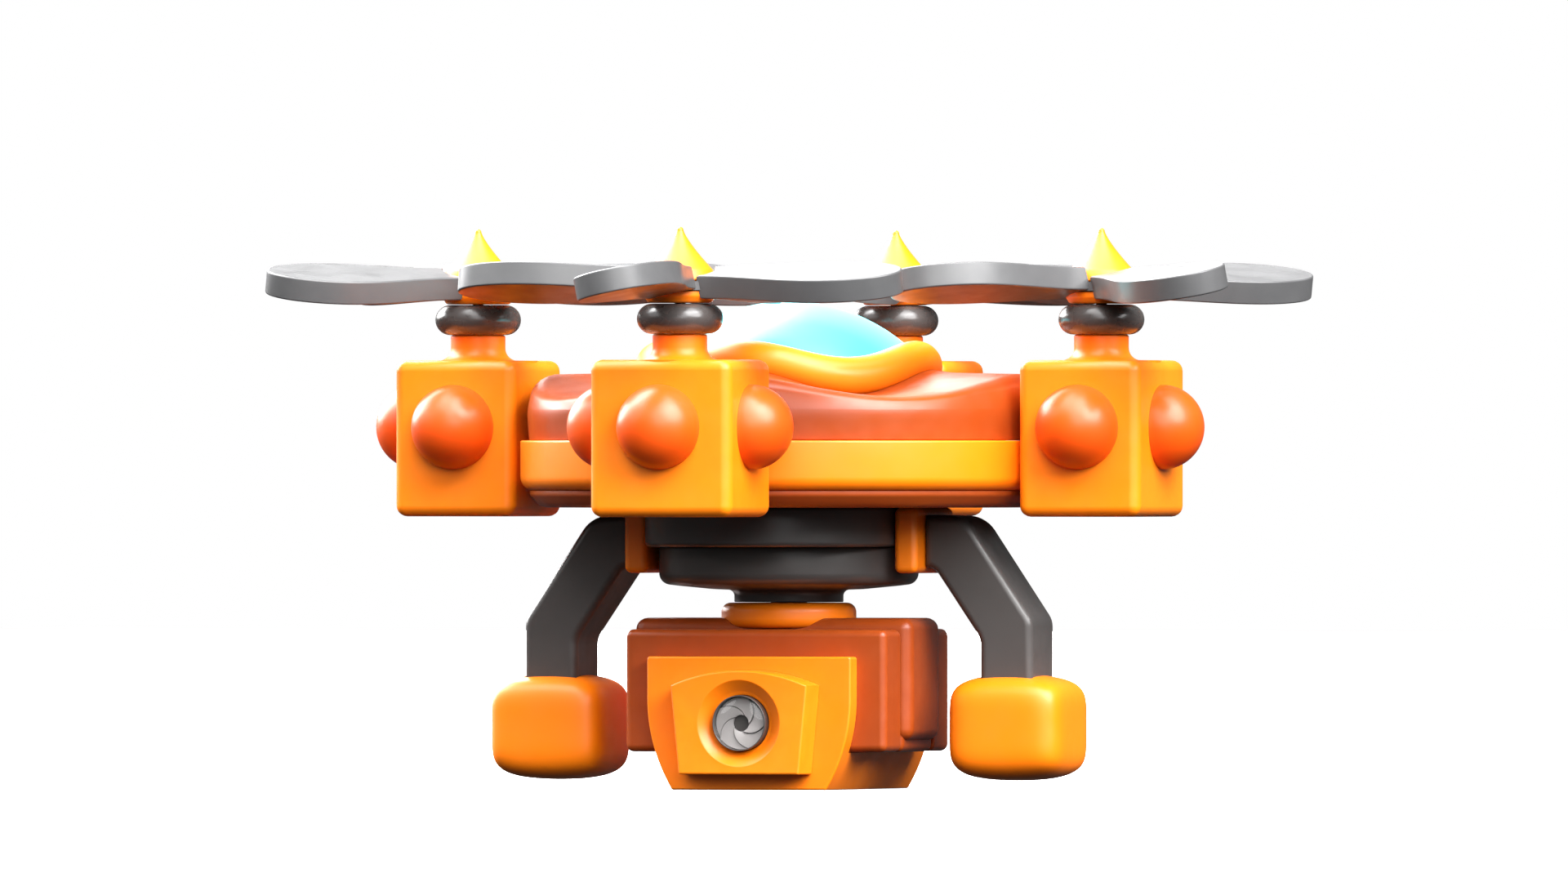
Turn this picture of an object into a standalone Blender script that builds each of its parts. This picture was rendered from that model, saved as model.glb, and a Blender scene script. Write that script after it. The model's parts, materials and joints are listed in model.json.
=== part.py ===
"""Quadcopter with four rotor pods in a plus layout and a camera that pans below its round hull.

Metres, +Z up, nose toward -Y, the drone's own left-hand side toward +X. The origin is on the centre
line of the rotor pattern, level with the underside of the camera cradle, which is the lowest face.
"""

import math

import bmesh
import bpy
from mathutils import Matrix, Vector

GAP = 0.0003  # clearance between neighbouring pieces
ON_AXIS = 1e-9  # a radius below this is a point on the axis

# Sides of round pieces
HULL_ROUND = 64
LARGE_ROUND = 40
MEDIUM_ROUND = 24
SMALL_ROUND = 16
BORE_ROUND = 10

# Rotor pods: turn about Z from the front pod, pitch sense and rest angle of each propeller
ROTOR_OFFSET = 0.0906
PODS = {
    "front": (0.0, 1, 0.0),
    "left": (90.0, 1, 45.0),
    "back": (180.0, -1, 0.0),
    "right": (270.0, -1, 45.0),
}
POD_WIDTH = 0.0405
POD_DEPTH = 0.0347
POD_BOTTOM = 0.0750
POD_TOP = 0.1176
POD_EDGE = 0.0030
NECK_RADIUS = 0.0075
NECK_FLARE = 0.0042
NECK_TOP = 0.1246
SEAL_MIDDLE = 0.1289
SEAL_MAJOR = 0.00765
SEAL_MINOR = 0.0040
BUMPER_RADIUS = 0.0115
BUMPER_HEIGHT = 0.0994
SOCKET_DEPTH = 0.0052
MOTOR_RADIUS = 0.0095
MOTOR_TOP = 0.1000
MOTOR_FLOOR = 0.0800
MOTOR_CHAMFER = 0.0010
SHAFT_RADIUS = 0.0015
STUD_RADIUS = 0.0025
STUD_TOP = 0.1460

# Propellers and spinners
BLADE_COUNT = 4
BLADE_TIP = 0.0635
BLADE_WIDEST = 0.0430
BLADE_HALF_CHORD = 0.0135
ROOT_HALF_CHORD = 0.0068
BLADE_THICKNESS = 0.0065
BLADE_MIDDLE = 0.1388
BLADE_PITCH = math.radians(11.5)
HUB_RADIUS = 0.00965
HUB_FOOT_RADIUS = 0.0086
HUB_BOTTOM = 0.1332
HUB_TOP = 0.1364
SPINNER_BOTTOM = 0.1394
SPINNER_TIP = 0.1538
SPINNER_SKIRT_TOP = 0.1423
SPINNER_NOSE_BOTTOM = 0.1534
SPINNER_NOSE_RADIUS = 0.0009
WEB_RADIUS = 0.0110

# Hull
BELT_RADIUS = 0.0738
BELT_INNER = 0.0660
BELT_BOTTOM = 0.0821
BELT_TOP = 0.0956
BELT_CORNER = 0.0045
SPAR_WIDTH = 0.0120
SPAR_BOTTOM = 0.0840
SPAR_TOP = 0.0900
UPPER_RADIUS = 0.0718
UPPER_SHOULDER = 0.1060
UPPER_EDGE = 0.1133
UPPER_EDGE_RADIUS = 0.0655
UPPER_CROWN = 0.1160
WALL = 0.0020
LOWER_RADIUS = 0.0711
LOWER_FLOOR_RADIUS = 0.0650
LOWER_BOTTOM = 0.0775
CEILING = 0.1040
CEILING_RADIUS = 0.0480
LOBE_BASE = 0.1040  # the cover's waves start above this height
LOBE_DROP = 0.62  # share of that height lost midway between two pods

# Canopy
RIM_RADIUS = 0.0368
RIM_TUBE = 0.0054
RIM_MIDDLE = 0.11545
RIM_WAVE = 0.00225
RIM_WAVES = 4
RIM_AROUND = 56
RIM_ACROSS = 8
DOME_TOP = 0.1338
DOME_SPHERE = 0.0494
DOME_EDGE = 0.0375
DOME_WALL = 0.0015

# Gimbal and landing gear
DISC_RADIUS = 0.0355
PLATE_BOTTOM = 0.0667
PLATE_SHIFT = -0.0117
PLATE_EDGE = 0.0012
HOUSING_BOTTOM = 0.0557
HOUSING_KEEL = 0.0547
HOUSING_TOP = 0.0664
HOUSING_CORNER = 0.0055
NECK_DISC_RADIUS = 0.0150
NECK_DISC_BOTTOM = 0.0515
NECK_DISC_FILLET = 0.0020
BRACKET_INNER = 0.0360
BRACKET_OUTER = 0.0424
BRACKET_DEPTH = 0.0320
BRACKET_BOTTOM = 0.0595
BRACKET_EDGE = 0.0012
LEG_DEPTH = 0.0200
LEG_OUTER = 0.0736
LEG_INNER = 0.0584
LEG_END = 0.0200
LEG_EDGE = 0.0010
LEG_ROOT_TOP = 0.0752
LEG_ROOT_BOTTOM = 0.0610
LEG_OUTSIDE = (
    (0.0500, 0.0750), (0.0545, 0.0733), (0.0572, 0.0707), (0.0720, 0.0488), (LEG_OUTER, 0.0448),
)
LEG_INSIDE = ((LEG_INNER, 0.0398), (0.0575, 0.0427), (0.0475, 0.0574))
FOOT_MIDDLE = 0.0665
FOOT_WIDTH = 0.0325
FOOT_BOTTOM = 0.0026
FOOT_TOP = 0.0319
FOOT_ROUNDNESS = 5.5
FOOT_CROWN = 0.20

# Camera
COLLAR_RADIUS = 0.0184
COLLAR_BOTTOM = 0.0444
COLLAR_TOP = 0.0512
COLLAR_EDGE = 0.0025
SPINDLE_RADIUS = 0.0050
SPINDLE_TOP = 0.0620
CASE_BOTTOM = 0.0105
CASE_TOP = 0.0438
CASE_HALF_WIDTH = 0.0377
CASE_EDGE = 0.0018
CASE_FRONT = -0.0283
CASE_BACK = 0.0257
BAND_FRONT = -0.0142
BAND_BACK = 0.0114
BAND_BOTTOM = 0.0136
BAND_TOP = 0.0469
BAND_HALF_WIDTH = 0.0402
BAND_EDGE = 0.0030
CRADLE_FRONT = -0.0337
CRADLE_BACK = 0.0360
CRADLE_TOP = 0.0364
FACE_EDGE = 0.0006
CRADLE_HALF_WIDTH = 0.0294
CRADLE_FLANK = 0.0250  # below this height the sides curve inward
CRADLE_FLANK_RADIUS = 0.0470
PLATE_FRONT = -0.0422
PLATE_DRAFT = 0.0010  # how much wider the plate is at its back
PLATE_LOW = 0.0044
PLATE_SIDE_TOP = 0.0287
PLATE_APEX = 0.0327
PLATE_HALF_WIDTH = 0.0197
PLATE_FOOT_HALF_WIDTH = 0.0173
LENS_HEIGHT = 0.01835
FUNNEL_RADIUS = 0.0120
LIP_RADIUS = 0.0088
LIP_FRONT = -0.0399
BARREL_RADIUS = 0.0075
BARREL_FRONT = -0.0420
BARREL_RECESS = 0.0028
IRIS_RADIUS = 0.0070
IRIS_THICKNESS = 0.0008
IRIS_OPENING = 0.0018
GLASS_EDGE = 0.0004
GLASS_BULGE = 0.0012

# Electronics
BATTERY_SIZE = (0.032, 0.060, 0.0125)
BOARD_SIZE = (0.036, 0.036, 0.0024)
BOARD_BOTTOM = 0.0805

COLOURS = {
    "yellow_plastic": ((1.0, 0.42, 0.05), 0.35, 0.0),
    "orange_plastic": ((1.0, 0.16, 0.02), 0.35, 0.0),
    "terracotta_plastic": ((0.55, 0.16, 0.05), 0.40, 0.0),
    "brown_plastic": ((0.30, 0.09, 0.03), 0.45, 0.0),
    "dark_plastic": ((0.06, 0.058, 0.055), 0.45, 0.0),
    "grey_plastic": ((0.22, 0.22, 0.22), 0.45, 0.0),
    "black_rubber": ((0.03, 0.026, 0.025), 0.25, 0.0),
    "cyan_glass": ((0.20, 0.95, 1.0), 0.10, 0.0),
    "lens_glass": ((0.85, 0.87, 0.90), 0.03, 0.0),
    "steel": ((0.60, 0.60, 0.62), 0.30, 1.0),
    "circuit_green": ((0.03, 0.18, 0.08), 0.50, 0.0),
    "battery_wrap": ((0.04, 0.05, 0.09), 0.40, 0.0),
}


# Helpers


def clear_scene():
    for obj in list(bpy.data.objects):
        bpy.data.objects.remove(obj)


def make_material(name):
    colour, roughness, metallic = COLOURS[name]
    material = bpy.data.materials.new(name)
    material.use_nodes = True
    shader = material.node_tree.nodes["Principled BSDF"]
    shader.inputs["Base Color"].default_value = (*colour, 1.0)
    shader.inputs["Roughness"].default_value = roughness
    shader.inputs["Metallic"].default_value = metallic
    return material


def finished_mesh(bm):
    """Turns the working mesh into a mesh whose faces point out."""
    bmesh.ops.recalc_face_normals(bm, faces=bm.faces)
    mesh = bpy.data.meshes.new("piece")
    bm.to_mesh(mesh)
    bm.free()
    return mesh


def turned(profile, segments, closed=False):
    """A mesh turned about Z from (radius, height) points. A closed profile makes a ring."""
    bm = bmesh.new()
    rings = []
    for radius, height in profile:
        count = 1 if radius < ON_AXIS else segments
        angles = [2 * math.pi * i / count for i in range(count)]
        rings.append([bm.verts.new((radius * math.cos(a), radius * math.sin(a), height)) for a in angles])
    neighbours = list(zip(rings, rings[1:]))
    if closed:
        neighbours.append((rings[-1], rings[0]))
    for first, second in neighbours:
        for i in range(segments):
            j = (i + 1) % segments
            corners = [first[i % len(first)], first[j % len(first)]]
            corners += [second[j % len(second)], second[i % len(second)]]
            bm.faces.new(list(dict.fromkeys(corners)))
    return finished_mesh(bm)


def cylinder(radius, low, high, segments):
    """An upright cylinder on the Z axis between two heights."""
    return turned([(0, low), (radius, low), (radius, high), (0, high)], segments)


def washer(bore, radius, low, high, segments):
    """A flat ring on the Z axis between two heights."""
    return turned([(bore, low), (radius, low), (radius, high), (bore, high)], segments, closed=True)


def arc(centre, radius, start, end, steps):
    """Points on a circle arc in a plane, with angles in degrees."""
    angles = [math.radians(start + (end - start) * i / steps) for i in range(steps + 1)]
    return [(centre[0] + radius * math.cos(a), centre[1] + radius * math.sin(a)) for a in angles]


def block(low, high, edge=0.0, steps=2):
    """A box between two corners, with its edges rounded."""
    low, high = Vector(low), Vector(high)
    bm = bmesh.new()
    bmesh.ops.create_cube(bm, size=1.0)
    bmesh.ops.scale(bm, vec=high - low, verts=bm.verts)
    bmesh.ops.translate(bm, vec=(low + high) / 2, verts=bm.verts)
    if edge:
        bmesh.ops.bevel(bm, geom=bm.edges, offset=edge, segments=steps, profile=0.5, affect="EDGES")
    return finished_mesh(bm)


def plate(outline, back, front, edge=0.0, steps=1):
    """An (x, z) outline extruded along Y, with its long and face edges rounded."""
    bm = bmesh.new()
    face = bm.faces.new([bm.verts.new((x, back, z)) for x, z in outline])
    extruded = bmesh.ops.extrude_face_region(bm, geom=[face])
    far = [v for v in extruded["geom"] if isinstance(v, bmesh.types.BMVert)]
    bmesh.ops.translate(bm, vec=(0, front - back, 0), verts=far)
    if edge:
        bmesh.ops.bevel(bm, geom=bm.edges, offset=edge, segments=steps, profile=0.5, affect="EDGES")
    return finished_mesh(bm)


def moved(mesh, matrix):
    copy = mesh.copy()
    copy.transform(matrix)
    return copy


def combined(mesh, *steps):
    """Applies Boolean steps, each an operation and a mesh, and returns the resulting mesh."""
    base = bpy.data.objects.new("base", mesh)
    bpy.context.scene.collection.objects.link(base)
    tools = []
    for operation, tool_mesh in steps:
        tool = bpy.data.objects.new("tool", tool_mesh)
        bpy.context.scene.collection.objects.link(tool)
        modifier = base.modifiers.new(operation, "BOOLEAN")
        modifier.operation = operation
        modifier.object = tool
        tools.append(tool)
    graph = bpy.context.evaluated_depsgraph_get()
    result = bpy.data.meshes.new_from_object(base.evaluated_get(graph))
    for obj in [base, *tools]:
        bpy.data.objects.remove(obj)
    return result


def add(name, mesh, material, parent=None, location=(0, 0, 0), turn=0.0, smooth=True):
    """Adds one named piece of the model. The turn about Z is in degrees."""
    obj = bpy.data.objects.new(name, mesh)
    bpy.context.scene.collection.objects.link(obj)
    obj.location = location
    obj.rotation_euler.z = math.radians(turn)
    obj.parent = parent
    mesh.materials.clear()
    mesh.materials.append(material)
    if smooth:
        mesh.shade_smooth()
        mesh.set_sharp_from_angle(angle=math.radians(40))
    return obj


def add_empty(name, parent=None, location=(0, 0, 0), turn=0.0):
    empty = bpy.data.objects.new(name, None)
    bpy.context.scene.collection.objects.link(empty)
    empty.location = location
    empty.rotation_euler.z = math.radians(turn)
    empty.parent = parent
    return empty


# Rotor pods, modelled about the motor axis with -Y pointing outward


def pod_housing_mesh():
    """Rounded box with a flared neck, a motor bore from below, and cuts for the frame's spar and belt."""
    half_width, half_depth = POD_WIDTH / 2, POD_DEPTH / 2
    box = block((-half_width, -half_depth, POD_BOTTOM), (half_width, half_depth, POD_TOP), POD_EDGE)
    flare = arc((NECK_RADIUS + NECK_FLARE, POD_TOP + NECK_FLARE), NECK_FLARE, 270, 180, 3)
    root = POD_TOP - POD_EDGE
    neck_profile = [(0, root), (flare[0][0], root), *flare, (NECK_RADIUS, NECK_TOP), (0, NECK_TOP)]
    neck = turned(neck_profile, SMALL_ROUND)
    motor_bore = cylinder(MOTOR_RADIUS + GAP, POD_BOTTOM - WALL, MOTOR_TOP + GAP, SMALL_ROUND)
    shaft_bore = cylinder(SHAFT_RADIUS + GAP, MOTOR_TOP, NECK_TOP + WALL, BORE_ROUND)
    socket = block(
        (-SPAR_WIDTH / 2 - GAP, half_depth - SOCKET_DEPTH, SPAR_BOTTOM - GAP),
        (SPAR_WIDTH / 2 + GAP, half_depth + WALL, SPAR_TOP + GAP),
    )
    belt_seat = cylinder(BELT_RADIUS + GAP, BELT_BOTTOM - GAP, BELT_TOP + GAP, LARGE_ROUND)
    belt_seat.transform(Matrix.Translation((0, ROTOR_OFFSET, 0)))
    cuts = [("DIFFERENCE", cutter) for cutter in (motor_bore, shaft_bore, socket, belt_seat)]
    return combined(box, ("UNION", neck), *cuts)


def motor_mesh():
    bore = SHAFT_RADIUS + GAP
    profile = [
        (0, POD_BOTTOM + GAP),
        (MOTOR_RADIUS - MOTOR_CHAMFER, POD_BOTTOM + GAP),
        (MOTOR_RADIUS, POD_BOTTOM + GAP + MOTOR_CHAMFER),
        (MOTOR_RADIUS, MOTOR_TOP),
        (bore, MOTOR_TOP),
        (bore, MOTOR_FLOOR),
        (0, MOTOR_FLOOR),
    ]
    return turned(profile, SMALL_ROUND)


def motor_shaft_mesh():
    """Shaft with the bowl-shaped seat for the propeller and the stud that holds the spinner."""
    profile = [
        (0, MOTOR_FLOOR + GAP),
        (SHAFT_RADIUS, MOTOR_FLOOR + GAP),
        (SHAFT_RADIUS, HUB_BOTTOM),
        (HUB_FOOT_RADIUS, HUB_BOTTOM),
        (HUB_RADIUS, (HUB_BOTTOM + HUB_TOP) / 2),
        (HUB_RADIUS, HUB_TOP),
        (STUD_RADIUS, HUB_TOP),
        (STUD_RADIUS, STUD_TOP),
        (0, STUD_TOP),
    ]
    return turned(profile, SMALL_ROUND)


def bearing_seal_mesh():
    return turned(arc((SEAL_MAJOR, SEAL_MIDDLE), SEAL_MINOR, 0, 315, 7), SMALL_ROUND, closed=True)


def bumper_dome_mesh():
    """Half ball standing out along +Z from the pod's face."""
    ball = arc((0, GAP), BUMPER_RADIUS, 0, 90, 5)[:-1]
    return turned([(0, GAP), *ball, (0, GAP + BUMPER_RADIUS)], SMALL_ROUND)


def half_chord(distance):
    """Half the blade's width at a distance from the hub's axis."""
    if distance < BLADE_WIDEST:
        root = HUB_RADIUS * math.cos(math.radians(45))
        share = (distance - root) / (BLADE_WIDEST - root)
        swell = math.sin(math.pi / 2 * max(share, 0.0)) ** 2
        return ROOT_HALF_CHORD + (BLADE_HALF_CHORD - ROOT_HALF_CHORD) * swell
    share = (distance - BLADE_WIDEST) / (BLADE_TIP - BLADE_WIDEST)
    return BLADE_HALF_CHORD * math.sqrt(max(1 - share**2, 0.0))


def blade_outline():
    """Leaf outline of one blade along +X, from its round root to its tip and back."""
    root = arc((0, 0), HUB_RADIUS, 43, -43, 2)
    spread = [root[0][0] + (BLADE_WIDEST - root[0][0]) * i / 4 for i in range(1, 5)]
    fan = [60, 35, 15]
    tip = [BLADE_WIDEST + (BLADE_TIP - BLADE_WIDEST) * math.cos(math.radians(a)) for a in fan]
    side = [(x, -half_chord(x)) for x in spread + tip]
    return root + side + [(BLADE_TIP, 0.0)] + [(x, -y) for x, y in reversed(side)]


def propeller_mesh(sense):
    """Four flat blades, pitched about their own lengths, joined by a thin web around the stud."""
    half = BLADE_THICKNESS / 2
    seat, top_seat = HUB_TOP + GAP, SPINNER_BOTTOM - GAP
    clear = HUB_RADIUS + GAP
    bore = STUD_RADIUS + GAP
    outline = blade_outline()
    flat = plate(outline, -half, half)
    flat.transform(Matrix.Rotation(math.pi / 2, 4, "X"))
    flat.transform(Matrix.Rotation(sense * BLADE_PITCH, 4, "X"))
    flat.transform(Matrix.Translation((0, 0, BLADE_MIDDLE)))
    turns = [Matrix.Rotation(2 * math.pi * i / BLADE_COUNT, 4, "Z") for i in range(BLADE_COUNT)]
    web = washer(bore, WEB_RADIUS, seat, top_seat, SMALL_ROUND)
    below = cylinder(clear, HUB_BOTTOM - WALL, seat, SMALL_ROUND)
    above = cylinder(clear, top_seat, SPINNER_TIP, SMALL_ROUND)
    blades = [("UNION", moved(flat, turn)) for turn in turns]
    return combined(web, *blades, ("DIFFERENCE", below), ("DIFFERENCE", above))


def spinner_mesh():
    """Concave cone that ends in a small round tip, with a blind bore for the stud."""
    skirt_radius = 0.92 * HUB_RADIUS
    rise = SPINNER_NOSE_BOTTOM - SPINNER_SKIRT_TOP
    outer = [(HUB_RADIUS, SPINNER_BOTTOM)]
    for share in (0.0, 0.2, 0.4, 0.7, 1.0):
        taper = (1 - share) ** 1.35
        radius = SPINNER_NOSE_RADIUS + (skirt_radius - SPINNER_NOSE_RADIUS) * taper
        outer.append((radius, SPINNER_SKIRT_TOP + rise * share))
    outer.append((0, SPINNER_TIP))
    bore = STUD_RADIUS + GAP
    return turned([(0, STUD_TOP + GAP), (bore, STUD_TOP + GAP), (bore, SPINNER_BOTTOM), *outer], SMALL_ROUND)


def build_pods(materials):
    housing, motor, shaft = pod_housing_mesh(), motor_mesh(), motor_shaft_mesh()
    seal, dome, spinner = bearing_seal_mesh(), bumper_dome_mesh(), spinner_mesh()
    propellers = {sense: propeller_mesh(sense) for sense in (1, -1)}
    quarter = math.pi / 2
    bumpers = {
        "outer": ((0, -POD_DEPTH / 2, BUMPER_HEIGHT), Matrix.Rotation(quarter, 4, "X")),
        "side_a": ((POD_WIDTH / 2, 0, BUMPER_HEIGHT), Matrix.Rotation(quarter, 4, "Y")),
        "side_b": ((-POD_WIDTH / 2, 0, BUMPER_HEIGHT), Matrix.Rotation(-quarter, 4, "Y")),
    }
    domes = {name: moved(dome, Matrix.Translation(place) @ turn) for name, (place, turn) in bumpers.items()}
    for side, (turn, sense, rest) in PODS.items():
        hub = add_empty(f"hub_{side}", turn=turn)
        axis = add_empty(f"motor_axis_{side}", hub, (0, -ROTOR_OFFSET, 0))
        add(f"pod_housing_{side}", housing, materials["yellow_plastic"], axis)
        add(f"motor_{side}", motor, materials["steel"], axis)
        add(f"bearing_seal_{side}", seal, materials["black_rubber"], axis)
        for name, mesh in domes.items():
            add(f"bumper_{side}_{name}", mesh, materials["orange_plastic"], axis)
        rotor = add_empty(f"rotor_{side}", axis, turn=rest - turn)
        add(f"motor_shaft_{side}", shaft, materials["yellow_plastic"], rotor)
        add(f"propeller_{side}", propellers[sense], materials["grey_plastic"], rotor)
        add(f"spinner_{side}", spinner, materials["yellow_plastic"], rotor)


# Hull


def rim_mesh(tube):
    """Ring tube whose centre line rises toward the four pods and dips between them."""
    bm = bmesh.new()
    rings = []
    for i in range(RIM_AROUND):
        angle = 2 * math.pi * i / RIM_AROUND
        middle = RIM_MIDDLE + RIM_WAVE * math.cos(RIM_WAVES * angle)
        section = arc((RIM_RADIUS, middle), tube, 0, 360, RIM_ACROSS)[:-1]
        rings.append([bm.verts.new((r * math.cos(angle), r * math.sin(angle), z)) for r, z in section])
    for i, ring in enumerate(rings):
        following = rings[(i + 1) % RIM_AROUND]
        for j in range(RIM_ACROSS):
            k = (j + 1) % RIM_ACROSS
            bm.faces.new([ring[j], following[j], following[k], ring[k]])
    return finished_mesh(bm)


def lobed(mesh):
    """Lowers what stands above the base height midway between the pods, so that four lobes remain."""
    for vert in mesh.vertices:
        if vert.co.z > LOBE_BASE:
            angle = math.atan2(vert.co.y, vert.co.x)
            keep = 1 - LOBE_DROP * (1 - math.cos(RIM_WAVES * angle)) / 2
            vert.co.z = LOBE_BASE + (vert.co.z - LOBE_BASE) * keep
    return mesh


def upper_shell_mesh():
    """Four-lobed cover with a rounded shoulder, a thick crown and a groove for the canopy rim."""
    shoulder_reach = UPPER_RADIUS - UPPER_EDGE_RADIUS
    shoulder_rise = UPPER_EDGE - UPPER_SHOULDER
    shoulder = [
        (UPPER_EDGE_RADIUS + shoulder_reach * math.cos(a), UPPER_SHOULDER + shoulder_rise * math.sin(a))
        for a in [math.radians(22.5 * i) for i in range(5)]
    ]
    crown = [(0.65 * UPPER_RADIUS, UPPER_CROWN - WALL), (RIM_RADIUS, UPPER_CROWN), (0, UPPER_CROWN)]
    outer = [(UPPER_RADIUS, BELT_TOP + GAP), *shoulder, *crown]
    inner = [
        (0, CEILING),
        (CEILING_RADIUS, CEILING),
        (UPPER_EDGE_RADIUS - WALL, UPPER_SHOULDER),
        (UPPER_RADIUS - WALL, CEILING),
        (UPPER_RADIUS - WALL, BELT_TOP + GAP),
    ]
    return combined(lobed(turned(inner + outer, HULL_ROUND)), ("DIFFERENCE", rim_mesh(RIM_TUBE + GAP)))


def main_frame_mesh():
    """Belt ring with two crossed spars whose ends reach into the pods."""
    corner = arc((BELT_RADIUS - BELT_CORNER, BELT_BOTTOM + BELT_CORNER), BELT_CORNER, -90, 0, 2)
    section = [(BELT_INNER, BELT_BOTTOM), *corner, (BELT_RADIUS, BELT_TOP), (BELT_INNER, BELT_TOP)]
    belt = turned(section, LARGE_ROUND, closed=True)
    reach = ROTOR_OFFSET - POD_DEPTH / 2 + SOCKET_DEPTH - GAP
    half = SPAR_WIDTH / 2
    spar_x = block((-reach, -half, SPAR_BOTTOM), (reach, half, SPAR_TOP))
    spar_y = moved(spar_x, Matrix.Rotation(math.pi / 2, 4, "Z"))
    return combined(belt, ("UNION", spar_x), ("UNION", spar_y))


def lower_shell_mesh():
    """Shallow tray that closes the hull from below."""
    top = BELT_BOTTOM - GAP
    floor_top = LOWER_BOTTOM + WALL
    corner = [
        (LOWER_FLOOR_RADIUS + (LOWER_RADIUS - LOWER_FLOOR_RADIUS) * math.sin(a),
         top - (top - LOWER_BOTTOM) * math.cos(a))
        for a in [math.radians(30 * i) for i in range(4)]
    ]
    inner_radius = LOWER_RADIUS - 2 * WALL
    inside = [(inner_radius, top), (LOWER_FLOOR_RADIUS - WALL, floor_top), (0, floor_top)]
    return turned([(0, LOWER_BOTTOM), *corner, *inside], LARGE_ROUND)


def canopy_dome_mesh():
    """Thin spherical window, cut to sit on the wavy rim."""
    centre = DOME_TOP - DOME_SPHERE
    inner_radius = DOME_SPHERE - DOME_WALL
    edge = math.degrees(math.acos(DOME_EDGE / DOME_SPHERE))
    outer = arc((0, centre), DOME_SPHERE, edge, 90, 3)[:-1]
    inner = arc((0, centre), inner_radius, 90, edge, 3)[1:]
    profile = [(0, centre + inner_radius), *inner, *outer, (0, DOME_TOP)]
    return combined(turned(profile, LARGE_ROUND), ("DIFFERENCE", rim_mesh(RIM_TUBE + GAP)))


def build_hull(materials):
    add("hull_upper_shell", upper_shell_mesh(), materials["terracotta_plastic"])
    add("main_frame", main_frame_mesh(), materials["yellow_plastic"])
    add("hull_lower_shell", lower_shell_mesh(), materials["brown_plastic"])
    add("canopy_rim", rim_mesh(RIM_TUBE), materials["yellow_plastic"])
    add("canopy_dome", canopy_dome_mesh(), materials["cyan_glass"])
    half_x, half_y = BATTERY_SIZE[0] / 2, BATTERY_SIZE[1] / 2
    battery_bottom = SPAR_TOP + GAP
    battery = block(
        (-half_x, -half_y, battery_bottom), (half_x, half_y, battery_bottom + BATTERY_SIZE[2]), 0.002
    )
    add("battery_pack", battery, materials["battery_wrap"])
    half_x, half_y = BOARD_SIZE[0] / 2, BOARD_SIZE[1] / 2
    board = block((-half_x, -half_y, BOARD_BOTTOM), (half_x, half_y, BOARD_BOTTOM + BOARD_SIZE[2]))
    add("flight_controller", board, materials["circuit_green"], smooth=False)


# Gimbal mount and landing gear


def mount_plate_mesh():
    top = LOWER_BOTTOM - GAP
    corner = arc((DISC_RADIUS - PLATE_EDGE, PLATE_BOTTOM + PLATE_EDGE), PLATE_EDGE, -90, 0, 2)
    return turned([(0, PLATE_BOTTOM), *corner, (DISC_RADIUS, top), (0, top)], LARGE_ROUND)


def gimbal_housing_mesh():
    """Round housing with a rounded lower edge, a waisted neck and a bore for the pan spindle."""
    waist = NECK_DISC_FILLET
    fillet = arc((NECK_DISC_RADIUS + waist, HOUSING_KEEL - waist), waist, 180, 90, 2)
    corner = arc((DISC_RADIUS - HOUSING_CORNER, HOUSING_BOTTOM + HOUSING_CORNER), HOUSING_CORNER, -90, 0, 3)
    bore = SPINDLE_RADIUS + GAP
    profile = [
        (0, SPINDLE_TOP + GAP),
        (bore, SPINDLE_TOP + GAP),
        (bore, NECK_DISC_BOTTOM),
        (NECK_DISC_RADIUS, NECK_DISC_BOTTOM),
        *fillet,
        *corner,
        (DISC_RADIUS, HOUSING_TOP),
        (0, HOUSING_TOP),
    ]
    return turned(profile, LARGE_ROUND)


def leg_mesh():
    """Left-hand leg: out from the bracket, down a slope and straight into the foot."""
    start = BRACKET_OUTER + GAP
    outline = [(start, LEG_ROOT_TOP), *LEG_OUTSIDE, (LEG_OUTER, LEG_END)]
    outline += [(LEG_INNER, LEG_END), *LEG_INSIDE, (start, LEG_ROOT_BOTTOM)]
    return plate(outline, -LEG_DEPTH / 2, LEG_DEPTH / 2, LEG_EDGE)


def foot_mesh():
    """Soft square pad with crowned faces and a socket for the leg."""
    bm = bmesh.new()
    bmesh.ops.create_cube(bm, size=2.0)
    bmesh.ops.subdivide_edges(bm, edges=bm.edges, cuts=5, use_grid_fill=True)
    half = Vector((FOOT_WIDTH / 2, FOOT_WIDTH / 2, (FOOT_TOP - FOOT_BOTTOM) / 2))
    for vert in bm.verts:
        size = sum(abs(c) ** FOOT_ROUNDNESS for c in vert.co) ** (1 / FOOT_ROUNDNESS)
        place = vert.co / size
        place.z *= 1 - FOOT_CROWN * place.xy.length_squared / 2
        vert.co = place * half
    bmesh.ops.translate(bm, vec=(FOOT_MIDDLE, 0, (FOOT_TOP + FOOT_BOTTOM) / 2), verts=bm.verts)
    socket = block(
        (LEG_INNER - GAP, -LEG_DEPTH / 2 - GAP, LEG_END - GAP),
        (LEG_OUTER + GAP, LEG_DEPTH / 2 + GAP, FOOT_TOP + WALL),
    )
    return combined(finished_mesh(bm), ("DIFFERENCE", socket))


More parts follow.
